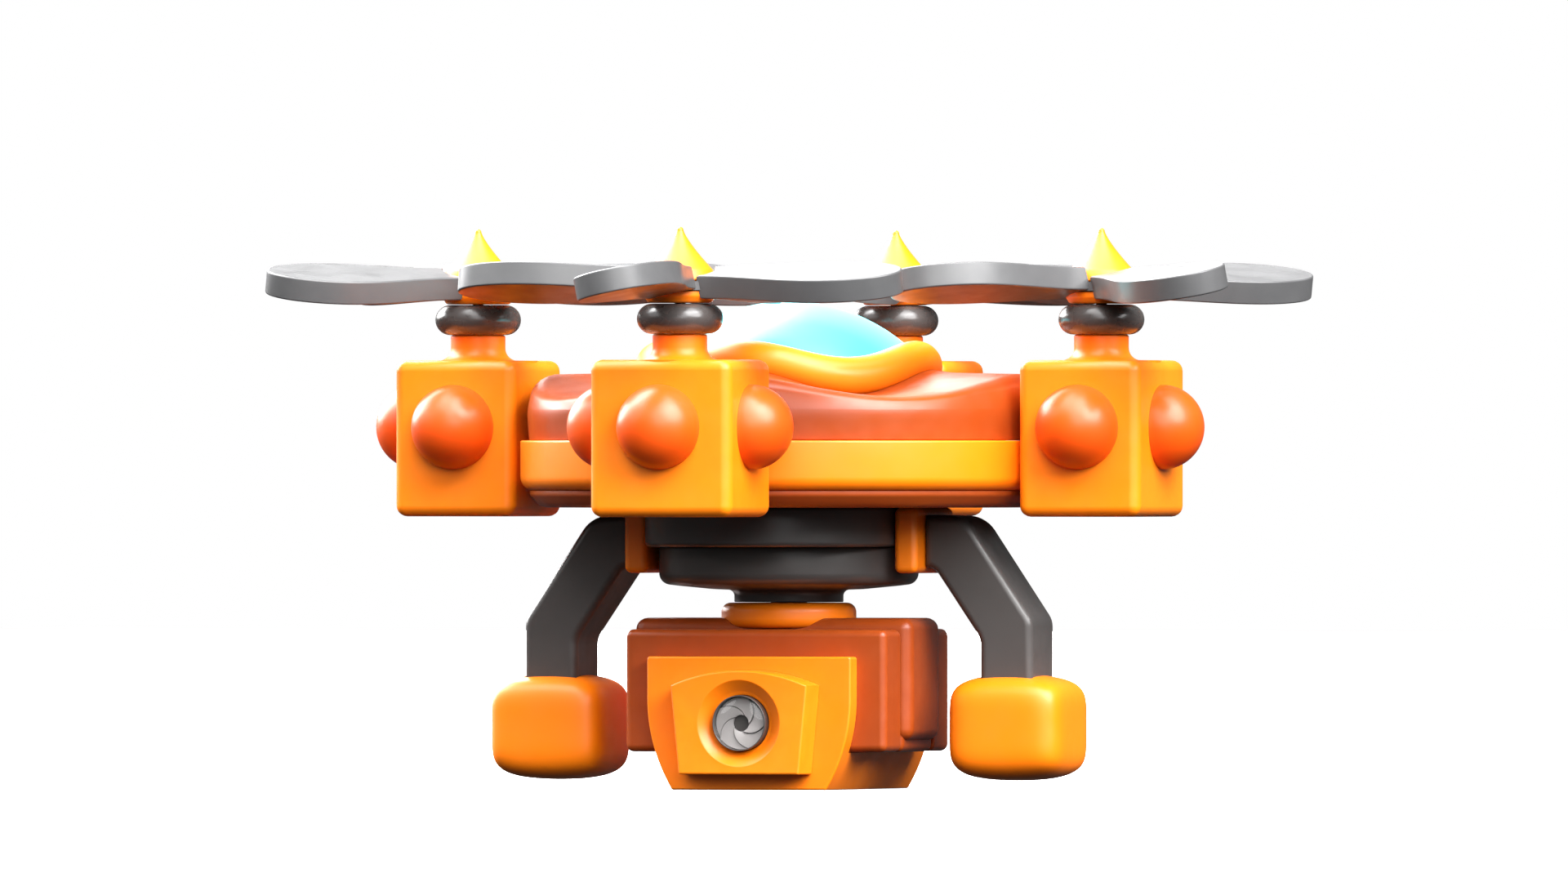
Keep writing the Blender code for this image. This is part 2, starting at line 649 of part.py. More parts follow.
def build_landing_gear(materials):
    plate_place = (0, PLATE_SHIFT, 0)
    add("gimbal_mount_plate", mount_plate_mesh(), materials["dark_plastic"], location=plate_place)
    add("gimbal_housing", gimbal_housing_mesh(), materials["dark_plastic"])
    bracket = block(
        (BRACKET_INNER, -BRACKET_DEPTH / 2, BRACKET_BOTTOM),
        (BRACKET_OUTER, BRACKET_DEPTH / 2, LOWER_BOTTOM - GAP),
        BRACKET_EDGE,
    )
    leg, foot = leg_mesh(), foot_mesh()
    for side, turn in (("left", 0.0), ("right", 180.0)):
        add(f"leg_bracket_{side}", bracket, materials["yellow_plastic"], turn=turn)
        add(f"leg_{side}", leg, materials["dark_plastic"], turn=turn)
        add(f"foot_{side}", foot, materials["yellow_plastic"], turn=turn)


# Camera, which pans about the gimbal's axis


def collar_edge(grow, height, start):
    """Quarter-round edge of the collar, grown outward, with its middle at a height."""
    return arc((COLLAR_RADIUS - COLLAR_EDGE, height), COLLAR_EDGE + grow, start, start + 90, 2)


def collar_mesh():
    """Rounded collar with the spindle that turns in the gimbal housing."""
    profile = [
        (0, COLLAR_BOTTOM),
        *collar_edge(0, COLLAR_BOTTOM + COLLAR_EDGE, -90),
        *collar_edge(0, COLLAR_TOP - COLLAR_EDGE, 0),
        (SPINDLE_RADIUS, COLLAR_TOP),
        (SPINDLE_RADIUS, SPINDLE_TOP),
        (0, SPINDLE_TOP),
    ]
    return turned(profile, MEDIUM_ROUND)


def camera_housing_mesh():
    """Middle of the case with a wider band over its top and sides, and a round pocket for the collar."""
    half, wide = CASE_HALF_WIDTH, BAND_HALF_WIDTH
    core = block((-half, BAND_FRONT, CASE_BOTTOM), (half, BAND_BACK, CASE_TOP), CASE_EDGE)
    band = block((-wide, BAND_FRONT, BAND_BOTTOM), (wide, BAND_BACK, BAND_TOP), BAND_EDGE, 3)
    above = BAND_TOP + WALL
    seat = collar_edge(GAP, COLLAR_BOTTOM + COLLAR_EDGE, -90)
    pocket = turned([(0, COLLAR_BOTTOM - GAP), *seat, (COLLAR_RADIUS + GAP, above), (0, above)], MEDIUM_ROUND)
    return combined(core, ("UNION", band), ("DIFFERENCE", pocket))


def cradle_mesh():
    """U-shaped cradle: a front plate and a rear plate joined by a keel, with inward-curved flanks."""
    centre = (CRADLE_HALF_WIDTH - CRADLE_FLANK_RADIUS, CRADLE_FLANK)
    sweep = math.degrees(math.asin(CRADLE_FLANK / CRADLE_FLANK_RADIUS))
    flank = arc(centre, CRADLE_FLANK_RADIUS, -sweep, 0, 5)
    right = [*flank, (CRADLE_HALF_WIDTH, CRADLE_TOP)]
    outline = right + [(-x, z) for x, z in reversed(right)]
    body = plate(outline, CRADLE_FRONT, CRADLE_BACK, FACE_EDGE)
    seat = block(
        (-2 * CRADLE_HALF_WIDTH, CASE_FRONT - GAP, CASE_BOTTOM - GAP),
        (2 * CRADLE_HALF_WIDTH, CASE_BACK + GAP, 2 * CRADLE_TOP),
    )
    return combined(body, ("DIFFERENCE", seat))


def faceplate_mesh():
    """Raised plate with an arched top and a funnel-shaped lens opening."""
    rise = PLATE_APEX - PLATE_SIDE_TOP
    arch_radius = (PLATE_HALF_WIDTH**2 + rise**2) / (2 * rise)
    spread = math.degrees(math.asin(PLATE_HALF_WIDTH / arch_radius))
    arch = arc((0, PLATE_APEX - arch_radius), arch_radius, 90 - spread, 90 + spread, 10)
    outline = [(-PLATE_FOOT_HALF_WIDTH, PLATE_LOW), (PLATE_FOOT_HALF_WIDTH, PLATE_LOW), *arch]
    back = CRADLE_FRONT - GAP
    body = plate(outline, PLATE_FRONT, back, FACE_EDGE)
    for vert in body.vertices:
        if vert.co.y > (PLATE_FRONT + back) / 2:
            vert.co.x += math.copysign(PLATE_DRAFT, vert.co.x)
    bore = BARREL_RADIUS + GAP
    lip, mouth = back - LIP_FRONT, back - PLATE_FRONT + GAP
    beyond = mouth + WALL
    throat = [(0, -WALL), (bore, -WALL), (bore, lip), (LIP_RADIUS, lip)]
    flare = [(FUNNEL_RADIUS, mouth), (FUNNEL_RADIUS, beyond), (0, beyond)]
    funnel = turned(throat + flare, MEDIUM_ROUND)
    return combined(body, ("DIFFERENCE", moved(funnel, facing_front(back))))


def facing_front(back):
    """Places a piece turned about Z on the lens axis, its foot at the given Y and its top to the front."""
    return Matrix.Translation((0, back, LENS_HEIGHT)) @ Matrix.Rotation(math.pi / 2, 4, "X")


def lens_barrel_mesh():
    """Cup that holds the iris and the glass, and the height of its floor."""
    depth = CRADLE_FRONT - GAP - BARREL_FRONT
    floor = depth - BARREL_RECESS
    inner = IRIS_RADIUS + GAP
    profile = [(0, 0), (BARREL_RADIUS, 0), (BARREL_RADIUS, depth), (inner, depth), (inner, floor), (0, floor)]
    return turned(profile, MEDIUM_ROUND), floor


def lens_glass_mesh(bottom):
    """Flat-backed glass with a bulging front."""
    edge = bottom + GLASS_EDGE
    angles = [math.radians(22.5 * i) for i in range(4)]
    bulge = [(IRIS_RADIUS * math.cos(a), edge + GLASS_BULGE * math.sin(a)) for a in angles]
    return turned([(0, bottom), (IRIS_RADIUS, bottom), *bulge, (0, edge + GLASS_BULGE)], MEDIUM_ROUND)


def build_camera(materials):
    pan = add_empty("pan_axis")
    add("camera_collar", collar_mesh(), materials["yellow_plastic"], pan)
    half = CASE_HALF_WIDTH
    bezel = block((-half, CASE_FRONT, CASE_BOTTOM), (half, BAND_FRONT - GAP, CASE_TOP), CASE_EDGE)
    add("camera_front_bezel", bezel, materials["terracotta_plastic"], pan)
    add("camera_housing", camera_housing_mesh(), materials["terracotta_plastic"], pan)
    cover = block((-half, BAND_BACK + GAP, CASE_BOTTOM), (half, CASE_BACK, CASE_TOP), CASE_EDGE)
    add("camera_back_cover", cover, materials["terracotta_plastic"], pan)
    add("camera_cradle", cradle_mesh(), materials["yellow_plastic"], pan)
    add("camera_faceplate", faceplate_mesh(), materials["yellow_plastic"], pan)
    barrel, floor = lens_barrel_mesh()
    iris_bottom = floor + GAP
    iris_top = iris_bottom + IRIS_THICKNESS
    iris = washer(IRIS_OPENING, IRIS_RADIUS, iris_bottom, iris_top, MEDIUM_ROUND)
    glass = lens_glass_mesh(iris_top + GAP)
    lens_place = facing_front(CRADLE_FRONT - GAP)
    for name, mesh, finish in (
        ("lens_barrel", barrel, "dark_plastic"),
        ("lens_iris", iris, "steel"),
        ("lens_glass", glass, "lens_glass"),
    ):
        add(name, moved(mesh, lens_place), materials[finish], pan)


def main():
    clear_scene()
    materials = {name: make_material(name) for name in COLOURS}
    build_pods(materials)
    build_hull(materials)
    build_landing_gear(materials)
    build_camera(materials)


main()
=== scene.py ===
"""Looks of a toy-like quadcopter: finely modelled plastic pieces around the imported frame."""

import json
import math

import bmesh
import bpy
from mathutils import Matrix, Vector

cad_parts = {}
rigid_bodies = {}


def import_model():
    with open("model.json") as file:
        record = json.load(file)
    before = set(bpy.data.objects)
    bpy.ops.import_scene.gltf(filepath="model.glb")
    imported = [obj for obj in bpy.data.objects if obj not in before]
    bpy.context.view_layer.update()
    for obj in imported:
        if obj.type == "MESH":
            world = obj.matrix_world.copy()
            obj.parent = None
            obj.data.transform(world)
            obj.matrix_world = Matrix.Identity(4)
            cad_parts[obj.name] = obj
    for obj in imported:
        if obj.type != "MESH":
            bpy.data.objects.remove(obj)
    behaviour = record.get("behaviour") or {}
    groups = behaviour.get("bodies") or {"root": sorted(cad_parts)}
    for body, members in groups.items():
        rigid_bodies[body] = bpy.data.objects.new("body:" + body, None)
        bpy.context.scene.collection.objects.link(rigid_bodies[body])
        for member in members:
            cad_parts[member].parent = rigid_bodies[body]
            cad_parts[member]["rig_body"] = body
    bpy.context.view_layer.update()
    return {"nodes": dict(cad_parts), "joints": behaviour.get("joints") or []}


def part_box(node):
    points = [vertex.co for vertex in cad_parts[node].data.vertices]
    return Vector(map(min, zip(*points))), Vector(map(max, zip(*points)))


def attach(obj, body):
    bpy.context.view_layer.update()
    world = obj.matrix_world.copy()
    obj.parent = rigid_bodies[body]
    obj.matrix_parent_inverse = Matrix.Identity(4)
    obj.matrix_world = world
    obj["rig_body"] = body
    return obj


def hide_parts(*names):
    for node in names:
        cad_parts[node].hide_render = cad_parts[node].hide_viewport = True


ARC_STEP = math.radians(9)  # largest turn between two points of a rounded corner
ROUND_SIDES = 96
SMALL_SIDES = 64
HULL_SIDES = 160
EDGE_STEPS = 5
SMOOTH_ANGLE = math.radians(32)
ON_AXIS = 1e-9
CLEAR = 0.0003  # gap between neighbouring CAD pieces
FIT = 0.00014  # how far each visible piece reaches into that gap

# View and light
AZIMUTH = math.radians(19.1)
LENS = 850.0
SENSOR = 36.0
FRAME_WIDTH = 0.4308  # width of the picture at the object's centre line
FRAME_CENTRE_RIGHT = -0.00135
FRAME_CENTRE_HEIGHT = 0.0956
ROOM_LIGHT = 0.25  # what the room adds from the sides and above
ROOM_BELOW = 0.04  # and from underneath
LIGHTS = (  # name, degrees from the nose toward the drone's left, degrees above the floor, strength, spread
    ("key", -122, 36, 13.6, 60),
    ("right", 65, 35, 7.0, 45),
    ("right_top", 60, 62, 4.2, 45),
    ("left_top", -90, 62, 3.8, 45),
    ("front_top", 0, 62, 3.2, 45),
    ("front", 25, 28, 2.4, 45),
    ("left", -60, 35, 1.0, 45),
)

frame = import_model()


def box(node):
    """Corners of a CAD node's box, grown so that neighbouring pieces almost meet."""
    low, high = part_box(node)
    grow = Vector((FIT, FIT, FIT))
    return low - grow, high + grow


# Mesh helpers


def corner_arc(corner, before, after, radius):
    """Points of the arc that rounds a corner, given the vectors to its two neighbours."""
    angle = before.angle(after)
    reach = min(radius / math.tan(angle / 2), 0.49 * before.length, 0.49 * after.length)
    radius = reach * math.tan(angle / 2)
    middle = (before.normalized() + after.normalized()).normalized()
    centre = corner + middle * (radius / math.sin(angle / 2))
    start = corner + before.normalized() * reach - centre
    end = corner + after.normalized() * reach - centre
    turn = math.atan2(start.x * end.y - start.y * end.x, start.dot(end))
    steps = max(2, math.ceil(abs(turn) / ARC_STEP))
    return [centre + Matrix.Rotation(turn * i / steps, 2) @ start for i in range(steps + 1)]


def rounded_path(corners, closed=False):
    """Points of a path given as (x, y) or (x, y, radius) corners, with tangent arcs at the radii."""
    points = []
    for i, (x, y, *radius) in enumerate(corners):
        corner = Vector((x, y))
        at_end = not closed and i in (0, len(corners) - 1)
        if at_end or not radius or not radius[0]:
            points.append(corner)
            continue
        before = Vector(corners[i - 1][:2]) - corner
        after = Vector(corners[(i + 1) % len(corners)][:2]) - corner
        points += corner_arc(corner, before, after, radius[0])
    return points


def finished(bm):
    """Turns the working mesh into a mesh whose faces point out."""
    bmesh.ops.recalc_face_normals(bm, faces=bm.faces)
    mesh = bpy.data.meshes.new("piece")
    bm.to_mesh(mesh)
    bm.free()
    return mesh


def joined_rings(bm, first, second):
    """Faces between two rings of points, either of which may be a single point."""
    count = max(len(first), len(second))
    for i in range(count):
        j = (i + 1) % count
        corners = [first[i % len(first)], first[j % len(first)]]
        corners += [second[j % len(second)], second[i % len(second)]]
        bm.faces.new(list(dict.fromkeys(corners)))


def turned(path, sides=ROUND_SIDES, closed=False):
    """A mesh turned about Z from (radius, height) points. A closed path makes a ring."""
    bm = bmesh.new()
    rings = []
    for radius, height in path:
        count = 1 if radius < ON_AXIS else sides
        angles = [2 * math.pi * i / count for i in range(count)]
        rings.append([bm.verts.new((radius * math.cos(a), radius * math.sin(a), height)) for a in angles])
    for first, second in zip(rings, rings[1:]):
        joined_rings(bm, first, second)
    if closed:
        joined_rings(bm, rings[-1], rings[0])
    return finished(bm)


def soft_block(low, high, radius, steps=EDGE_STEPS):
    """A box between two corners with evenly rounded edges."""
    low, high = Vector(low), Vector(high)
    bm = bmesh.new()
    bmesh.ops.create_cube(bm, size=1.0)
    bmesh.ops.scale(bm, vec=high - low, verts=bm.verts)
    bmesh.ops.translate(bm, vec=(low + high) / 2, verts=bm.verts)
    bmesh.ops.bevel(bm, geom=bm.edges, offset=radius, segments=steps, profile=0.5, affect="EDGES")
    return finished(bm)


def sharp_block(low, high):
    """A box between two corners with sharp edges."""
    outline = [(low[0], low[2]), (high[0], low[2]), (high[0], high[2]), (low[0], high[2])]
    return slab(outline, low[1], high[1], 0.0)


def slab(outline, back, front, edge, steps=EDGE_STEPS):
    """An (x, z) outline extruded along Y, with the edges of its two faces rounded."""
    bm = bmesh.new()
    face = bm.faces.new([bm.verts.new((x, back, z)) for x, z in outline])
    extruded = bmesh.ops.extrude_face_region(bm, geom=[face])
    far = [v for v in extruded["geom"] if isinstance(v, bmesh.types.BMVert)]
    bmesh.ops.translate(bm, vec=(0, front - back, 0), verts=far)
    rims = [e for e in bm.edges if abs(e.verts[0].co.y - e.verts[1].co.y) < ON_AXIS]
    if edge:
        bmesh.ops.bevel(bm, geom=rims, offset=edge, segments=steps, profile=0.5, affect="EDGES")
    return finished(bm)


def swept_ring(centre, section, count):
    """A closed tube: centre(angle) gives the (radius, height) of the section's middle."""
    bm = bmesh.new()
    rings = []
    for i in range(count):
        angle = 2 * math.pi * i / count
        radius, height = centre(angle)
        outward = Vector((math.cos(angle), math.sin(angle), 0))
        places = [(radius + x) * outward + Vector((0, 0, height + z)) for x, z in section]
        rings.append([bm.verts.new(place) for place in places])
    for i, ring in enumerate(rings):
        joined_rings(bm, ring, rings[(i + 1) % count])
    return finished(bm)


def placed(mesh, matrix):
    """A copy of a mesh, moved by a matrix."""
    copy = mesh.copy()
    copy.transform(matrix)
    return copy


def combined(mesh, *steps):
    """Applies Boolean steps, each an operation and a mesh, and returns the resulting mesh."""
    base = bpy.data.objects.new("base", mesh)
    bpy.context.scene.collection.objects.link(base)
    tools = []
    for operation, tool_mesh in steps:
        tool = bpy.data.objects.new("tool", tool_mesh)
        bpy.context.scene.collection.objects.link(tool)
        modifier = base.modifiers.new(operation, "BOOLEAN")
        modifier.operation = operation
        modifier.object = tool
        tools.append(tool)
    graph = bpy.context.evaluated_depsgraph_get()
    result = bpy.data.meshes.new_from_object(base.evaluated_get(graph))
    for obj in [base, *tools]:
        bpy.data.objects.remove(obj)
    return result


def show(name, mesh, finish, node, place=None, flat_faces=False):
    """Adds a visible piece that stands for a CAD node and rides on that node's body."""
    obj = bpy.data.objects.new(name, mesh)
    bpy.context.scene.collection.objects.link(obj)
    mesh.materials.clear()
    mesh.materials.append(FINISHES[finish])
    mesh.shade_smooth()
    mesh.set_sharp_from_angle(angle=SMOOTH_ANGLE)
    if place:
        obj.matrix_world = place
    if flat_faces:
        modifier = obj.modifiers.new("even_faces", "WEIGHTED_NORMAL")
        modifier.keep_sharp = True
    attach(obj, frame["nodes"][node]["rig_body"])
    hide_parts(node)
    return obj


# Materials


class Nodes:
    """Short names for building a material's node tree."""

    def __init__(self, name):
        self.material = bpy.data.materials.new(name)
        self.material.use_nodes = True
        self.tree = self.material.node_tree
        self.shader = self.tree.nodes["Principled BSDF"]
        self.output = self.tree.nodes["Material Output"]
        self.place = self.tree.nodes.new("ShaderNodeTexCoord").outputs["Object"]

    def link(self, source, target):
        self.tree.links.new(source, target)
        return target

    def add(self, kind, **settings):
        node = self.tree.nodes.new(kind)
        for key, value in settings.items():
            setattr(node, key, value)
        return node

    def noise(self, scale, detail=2.0, roughness=0.5):
        node = self.add("ShaderNodeTexNoise")
        node.inputs["Scale"].default_value = scale
        node.inputs["Detail"].default_value = detail
        node.inputs["Roughness"].default_value = roughness
        self.link(self.place, node.inputs["Vector"])
        return node.outputs["Fac"]

    def ranged(self, value, low, high, to_low, to_high):
        node = self.add("ShaderNodeMapRange")
        for key, number in (("From Min", low), ("From Max", high), ("To Min", to_low), ("To Max", to_high)):
            node.inputs[key].default_value = number
        self.link(value, node.inputs["Value"])
        return node.outputs["Result"]

    def mixed(self, share, first, second, blend="MIX"):
        """Mixes two colours, each a tuple or a socket, by a number or a socket."""
        node = self.add("ShaderNodeMix", data_type="RGBA", blend_type=blend)
        for socket, value in ((node.inputs[0], share), (node.inputs[6], first), (node.inputs[7], second)):
            if isinstance(value, bpy.types.NodeSocket):
                self.link(value, socket)
            else:
                socket.default_value = (*value, 1.0) if isinstance(value, tuple) else value
        return node.outputs[2]

    def bump(self, height, strength, distance):
        node = self.add("ShaderNodeBump")
        node.inputs["Strength"].default_value = strength
        node.inputs["Distance"].default_value = distance
        self.link(height, node.inputs["Height"])
        return node.outputs["Normal"]

    def set(self, **values):
        for key, value in values.items():
            socket = self.shader.inputs[key.replace("_", " ")]
            if isinstance(value, bpy.types.NodeSocket):
                self.link(value, socket)
            else:
                socket.default_value = value


def worn_edges(nodes, amount):
    """A mask of convex edges, broken up by noise, where handling has polished the plastic."""
    edge = nodes.add("ShaderNodeNewGeometry").outputs["Pointiness"]
    mask = nodes.ranged(edge, 0.505, 0.56, 0.0, amount)
    patches = nodes.ranged(nodes.noise(220.0, 3.0), 0.35, 0.7, 0.3, 1.0)
    product = nodes.add("ShaderNodeMath", operation="MULTIPLY")
    nodes.link(mask, product.inputs[0])
    nodes.link(patches, product.inputs[1])
    return product.outputs[0]


def moulded_plastic(name, colour, deep, pale, roughness, grain=0.06):
    """Moulded plastic: slow colour drift, fine moulding grain, uneven gloss and paler worn edges."""
    nodes = Nodes(name)
    drift = nodes.ranged(nodes.noise(18.0, 3.0), 0.3, 0.7, 0.0, 1.0)
    body = nodes.mixed(drift, colour, deep)
    worn = nodes.mixed(worn_edges(nodes, 0.35), body, pale)
    gloss = nodes.ranged(nodes.noise(140.0, 4.0), 0.3, 0.7, roughness - 0.05, roughness + 0.06)
    fine = nodes.noise(2600.0, 2.0)
    nodes.set(Base_Color=worn, Roughness=gloss, Normal=nodes.bump(fine, grain, 0.00005), IOR=1.46)
    return nodes.material


def glossy_rubber():
    """Dark rubber with faint smears in its gloss."""
    nodes = Nodes("seal_rubber")
    smear = nodes.ranged(nodes.noise(260.0, 3.0), 0.35, 0.7, 0.24, 0.32)
    tint = nodes.mixed(nodes.noise(40.0), (0.050, 0.044, 0.042), (0.062, 0.055, 0.052))
    nodes.set(Base_Color=tint, Roughness=smear, Normal=nodes.bump(nodes.noise(1800.0), 0.05, 0.00005))
    return nodes.material


def window_plastic():
    """Satin tinted window with a painted sheen that pales it toward grazing angles."""
    nodes = Nodes("window_cyan")
    facing = nodes.add("ShaderNodeLayerWeight")
    facing.inputs["Blend"].default_value = 0.35
    tint = nodes.mixed(nodes.noise(30.0), (0.045, 0.70, 0.80), (0.055, 0.76, 0.84))
    # Painted sheen: the base colour is mixed toward pale cyan at grazing angles, standing in for the
    # reflection of the lights.
    pale = nodes.mixed(nodes.ranged(facing.outputs["Facing"], 0.4, 1.0, 0.0, 0.3), tint, (0.55, 0.95, 1.0))
    gloss = nodes.ranged(nodes.noise(90.0, 3.0), 0.3, 0.7, 0.34, 0.40)
    nodes.set(Base_Color=pale, Roughness=gloss)
    nodes.set(Normal=nodes.bump(nodes.noise(45.0), 0.03, 0.0004))
    return nodes.material


def clear_glass():
    """Lens glass: what lies behind shows through, with reflections that grow toward the rim."""
    nodes = Nodes("lens_glass")
    slope = nodes.add("ShaderNodeLayerWeight")
    slope.inputs["Blend"].default_value = 0.3
    nodes.link(nodes.bump(nodes.noise(120.0), 0.02, 0.0002), slope.inputs["Normal"])
    mirror = nodes.ranged(slope.outputs["Facing"], 0.0, 1.0, 0.03, 0.5)
    smudge = nodes.ranged(nodes.noise(420.0, 3.0), 0.4, 0.7, 0.03, 0.08)
    clear = nodes.add("ShaderNodeBsdfTransparent")
    shine = nodes.add("ShaderNodeBsdfGlossy")
    nodes.link(smudge, shine.inputs["Roughness"])
    mix = nodes.add("ShaderNodeMixShader")
    nodes.link(mirror, mix.inputs["Fac"])
    nodes.link(clear.outputs["BSDF"], mix.inputs[1])
    nodes.link(shine.outputs["BSDF"], mix.inputs[2])
    nodes.link(mix.outputs["Shader"], nodes.output.inputs["Surface"])
    return nodes.material


def satin_metal(name, colour, roughness, lines, metallic=1.0):
    """Turned metal with fine lines."""
    nodes = Nodes(name)
    grain = nodes.noise(lines, 4.0, 0.6)
    tint = nodes.mixed(nodes.noise(60.0), colour, tuple(0.82 * c for c in colour))
    gloss = nodes.ranged(grain, 0.3, 0.7, roughness - 0.06, roughness + 0.08)
    nodes.set(Base_Color=tint, Metallic=metallic, Roughness=gloss, Normal=nodes.bump(grain, 0.06, 0.00004))
    return nodes.material


def circuit_board():
    """Green board with paler tracks between its cells."""
    nodes = Nodes("circuit_board")
    cells = nodes.add("ShaderNodeTexVoronoi", feature="DISTANCE_TO_EDGE")
    cells.inputs["Scale"].default_value = 320.0
    nodes.link(nodes.place, cells.inputs["Vector"])
    tracks = nodes.ranged(cells.outputs["Distance"], 0.0, 0.08, 1.0, 0.0)
    nodes.set(Base_Color=nodes.mixed(tracks, (0.01, 0.09, 0.035), (0.03, 0.20, 0.07)))
    gloss = nodes.ranged(nodes.noise(500.0), 0.3, 0.7, 0.35, 0.55)
    nodes.set(Roughness=gloss, Normal=nodes.bump(tracks, 0.2, 0.0001))
    return nodes.material


FINISHES = {
    "yellow": moulded_plastic(
        "yellow_plastic", (0.92, 0.200, 0.0016), (0.88, 0.180, 0.0012), (0.96, 0.27, 0.008), 0.40
    ),
    "orange": moulded_plastic(
        "orange_plastic", (0.76, 0.080, 0.003), (0.72, 0.068, 0.002), (0.85, 0.13, 0.01), 0.36
    ),
    "terracotta": moulded_plastic(
        "terracotta_plastic", (0.30, 0.046, 0.0048), (0.26, 0.039, 0.0040), (0.42, 0.085, 0.016), 0.36
    ),
    "brown": moulded_plastic(
        "brown_plastic", (0.31, 0.050, 0.005), (0.27, 0.042, 0.004), (0.42, 0.08, 0.02), 0.42
    ),
    "dark": moulded_plastic(
        "dark_plastic", (0.058, 0.052, 0.050), (0.050, 0.045, 0.043), (0.085, 0.080, 0.077), 0.36
    ),
    "grey": moulded_plastic(
        "grey_plastic", (0.080, 0.080, 0.082), (0.068, 0.068, 0.070), (0.13, 0.13, 0.13), 0.34
    ),
    "wrap": moulded_plastic(
        "battery_wrap", (0.02, 0.03, 0.06), (0.015, 0.02, 0.04), (0.06, 0.07, 0.09), 0.30
    ),
    "seal": glossy_rubber(),
    "window": window_plastic(),
    "glass": clear_glass(),
    "metal": satin_metal("motor_metal", (0.42, 0.42, 0.44), 0.32, 900.0),
    "blade_metal": satin_metal("iris_metal", (0.56, 0.53, 0.52), 0.34, 1500.0, 0.35),
    "board": circuit_board(),
}


# Rotor pods

SIDES = ("front", "left", "back", "right")
PINS = {joint["child"]: Vector(joint["pos_m"]) for joint in frame["joints"]}
ROTOR_OFFSET = PINS["rotor_front"].xy.length
LIFT_SENSE = {joint["child"]: joint["axis"][2] for joint in frame["joints"]}
REST_TURN = {"front": 0.0, "left": 45.0, "back": 0.0, "right": 45.0}

POD_EDGE = 0.0030
SPAR_WIDTH = 0.0120
SPAR_BOTTOM = 0.0840
SPAR_TOP = 0.0900
NECK_HEIGHT = 0.0070
NECK_RADIUS = 0.0075
NECK_FLARE = 0.0042
BELT_RADIUS = 0.0738
MOTOR_BORE = 0.0098
MOTOR_SOCKET = 0.0047  # height of the can's blind bore for the shaft, above its lower end
SCREW_COUNT = 4
SCREW_RING = 0.0047
SCREW_RADIUS = 0.0009
SCREW_SOCKET = 0.00045
SHAFT_RADIUS = 0.0015
SHAFT_BORE = 0.0018
STUD_RADIUS = 0.0025
STUD_BORE = 0.0028
BLADE_COUNT = 4
BLADE_PITCH = math.radians(11.5)
BLADE_THICKNESS = 0.0065
BLADE_EDGE = 0.0005
BLADE_WIDEST = 0.0430
BLADE_HALF_CHORD = 0.0135
ROOT_HALF_CHORD = 0.0068


def pod_places():
    """For each side, the matrix that carries a pod modelled at the nose to that side."""
    nose = Vector((0, -1, 0))
    places = {}
    for side in SIDES:
        pin = PINS[f"rotor_{side}"]
        turn = math.atan2(nose.x * pin.y - nose.y * pin.x, nose.x * pin.x + nose.y * pin.y)
        places[side] = Matrix.Rotation(turn, 4, "Z") @ Matrix.Translation((0, -ROTOR_OFFSET, 0))
    return places


def local_box(node):
    """A front pod node's box, moved so that its motor axis is at x = y = 0."""
    shift = Vector((0, ROTOR_OFFSET, 0))
    low, high = box(node)
    return low + shift, high + shift


def cylinder(radius, bottom, top, sides=SMALL_SIDES):
    return turned([(0, bottom), (radius, bottom), (radius, top), (0, top)], sides)


def pod_housing():
    """Soft-edged box with a flared neck, a motor bore, and cuts for the frame's spar and belt."""
    low, high = local_box("pod_housing_front")
    top = high.z - NECK_HEIGHT
    body = soft_block(low, (high.x, high.y, top), POD_EDGE)
    root, skin = NECK_RADIUS + 2.1 * NECK_FLARE, top - 0.00004
    neck = [(0, top - POD_EDGE), (root, top - POD_EDGE), (root, skin), (NECK_RADIUS, skin, NECK_FLARE)]
    neck += [(NECK_RADIUS, high.z, 0.0006), (0, high.z)]
    motor_top = local_box("motor_front")[1].z
    motor_bore = cylinder(MOTOR_BORE, low.z - POD_EDGE, motor_top + CLEAR)
    shaft_bore = cylinder(SHAFT_BORE, motor_top, high.z + POD_EDGE, 24)
    frame_low, frame_high = box("main_frame")
    half, spar_end = SPAR_WIDTH / 2 + CLEAR, ROTOR_OFFSET - frame_high.x
    socket = sharp_block(
        (-half, spar_end - CLEAR, SPAR_BOTTOM - CLEAR),
        (half, high.y + POD_EDGE, SPAR_TOP + CLEAR),
    )
    seat_radius = BELT_RADIUS + CLEAR / 2
    seat = cylinder(seat_radius, frame_low.z - CLEAR, frame_high.z + CLEAR / 2, HULL_SIDES)
    seat.transform(Matrix.Translation((0, ROTOR_OFFSET, 0)))
    cuts = [("DIFFERENCE", cutter) for cutter in (motor_bore, shaft_bore, socket, seat)]
    return combined(body, ("UNION", turned(rounded_path(neck))), *cuts)


def motor():
    """Motor can whose lower end shows a ring groove, a boss and four screws."""
    low, high = local_box("motor_front")
    radius = high.x
    bottom, groove, bore_floor = low.z, low.z + 0.0008, low.z + MOTOR_SOCKET
    path = rounded_path(
        [(0, bottom), (0.0024, bottom, 0.0003), (0.0027, groove), (0.0066, groove, 0.0002)]
        + [(0.0069, bottom, 0.0002), (radius, bottom, 0.0012), (radius, high.z, 0.0006)]
        + [(SHAFT_BORE, high.z), (SHAFT_BORE, bore_floor), (0, bore_floor)]
    )
    heads = []
    for i in range(SCREW_COUNT):
        turn = Matrix.Rotation(math.pi / 4 + 2 * math.pi * i / SCREW_COUNT, 4, "Z")
        head = cylinder(SCREW_RADIUS, bottom + 0.0002, bottom + 0.0016, 24)
        socket = cylinder(SCREW_SOCKET, bottom, groove, 6)
        place = turn @ Matrix.Translation((SCREW_RING, 0, 0))
        heads += [("UNION", placed(head, place)), ("DIFFERENCE", placed(socket, place))]
    return combined(turned(path), *heads)


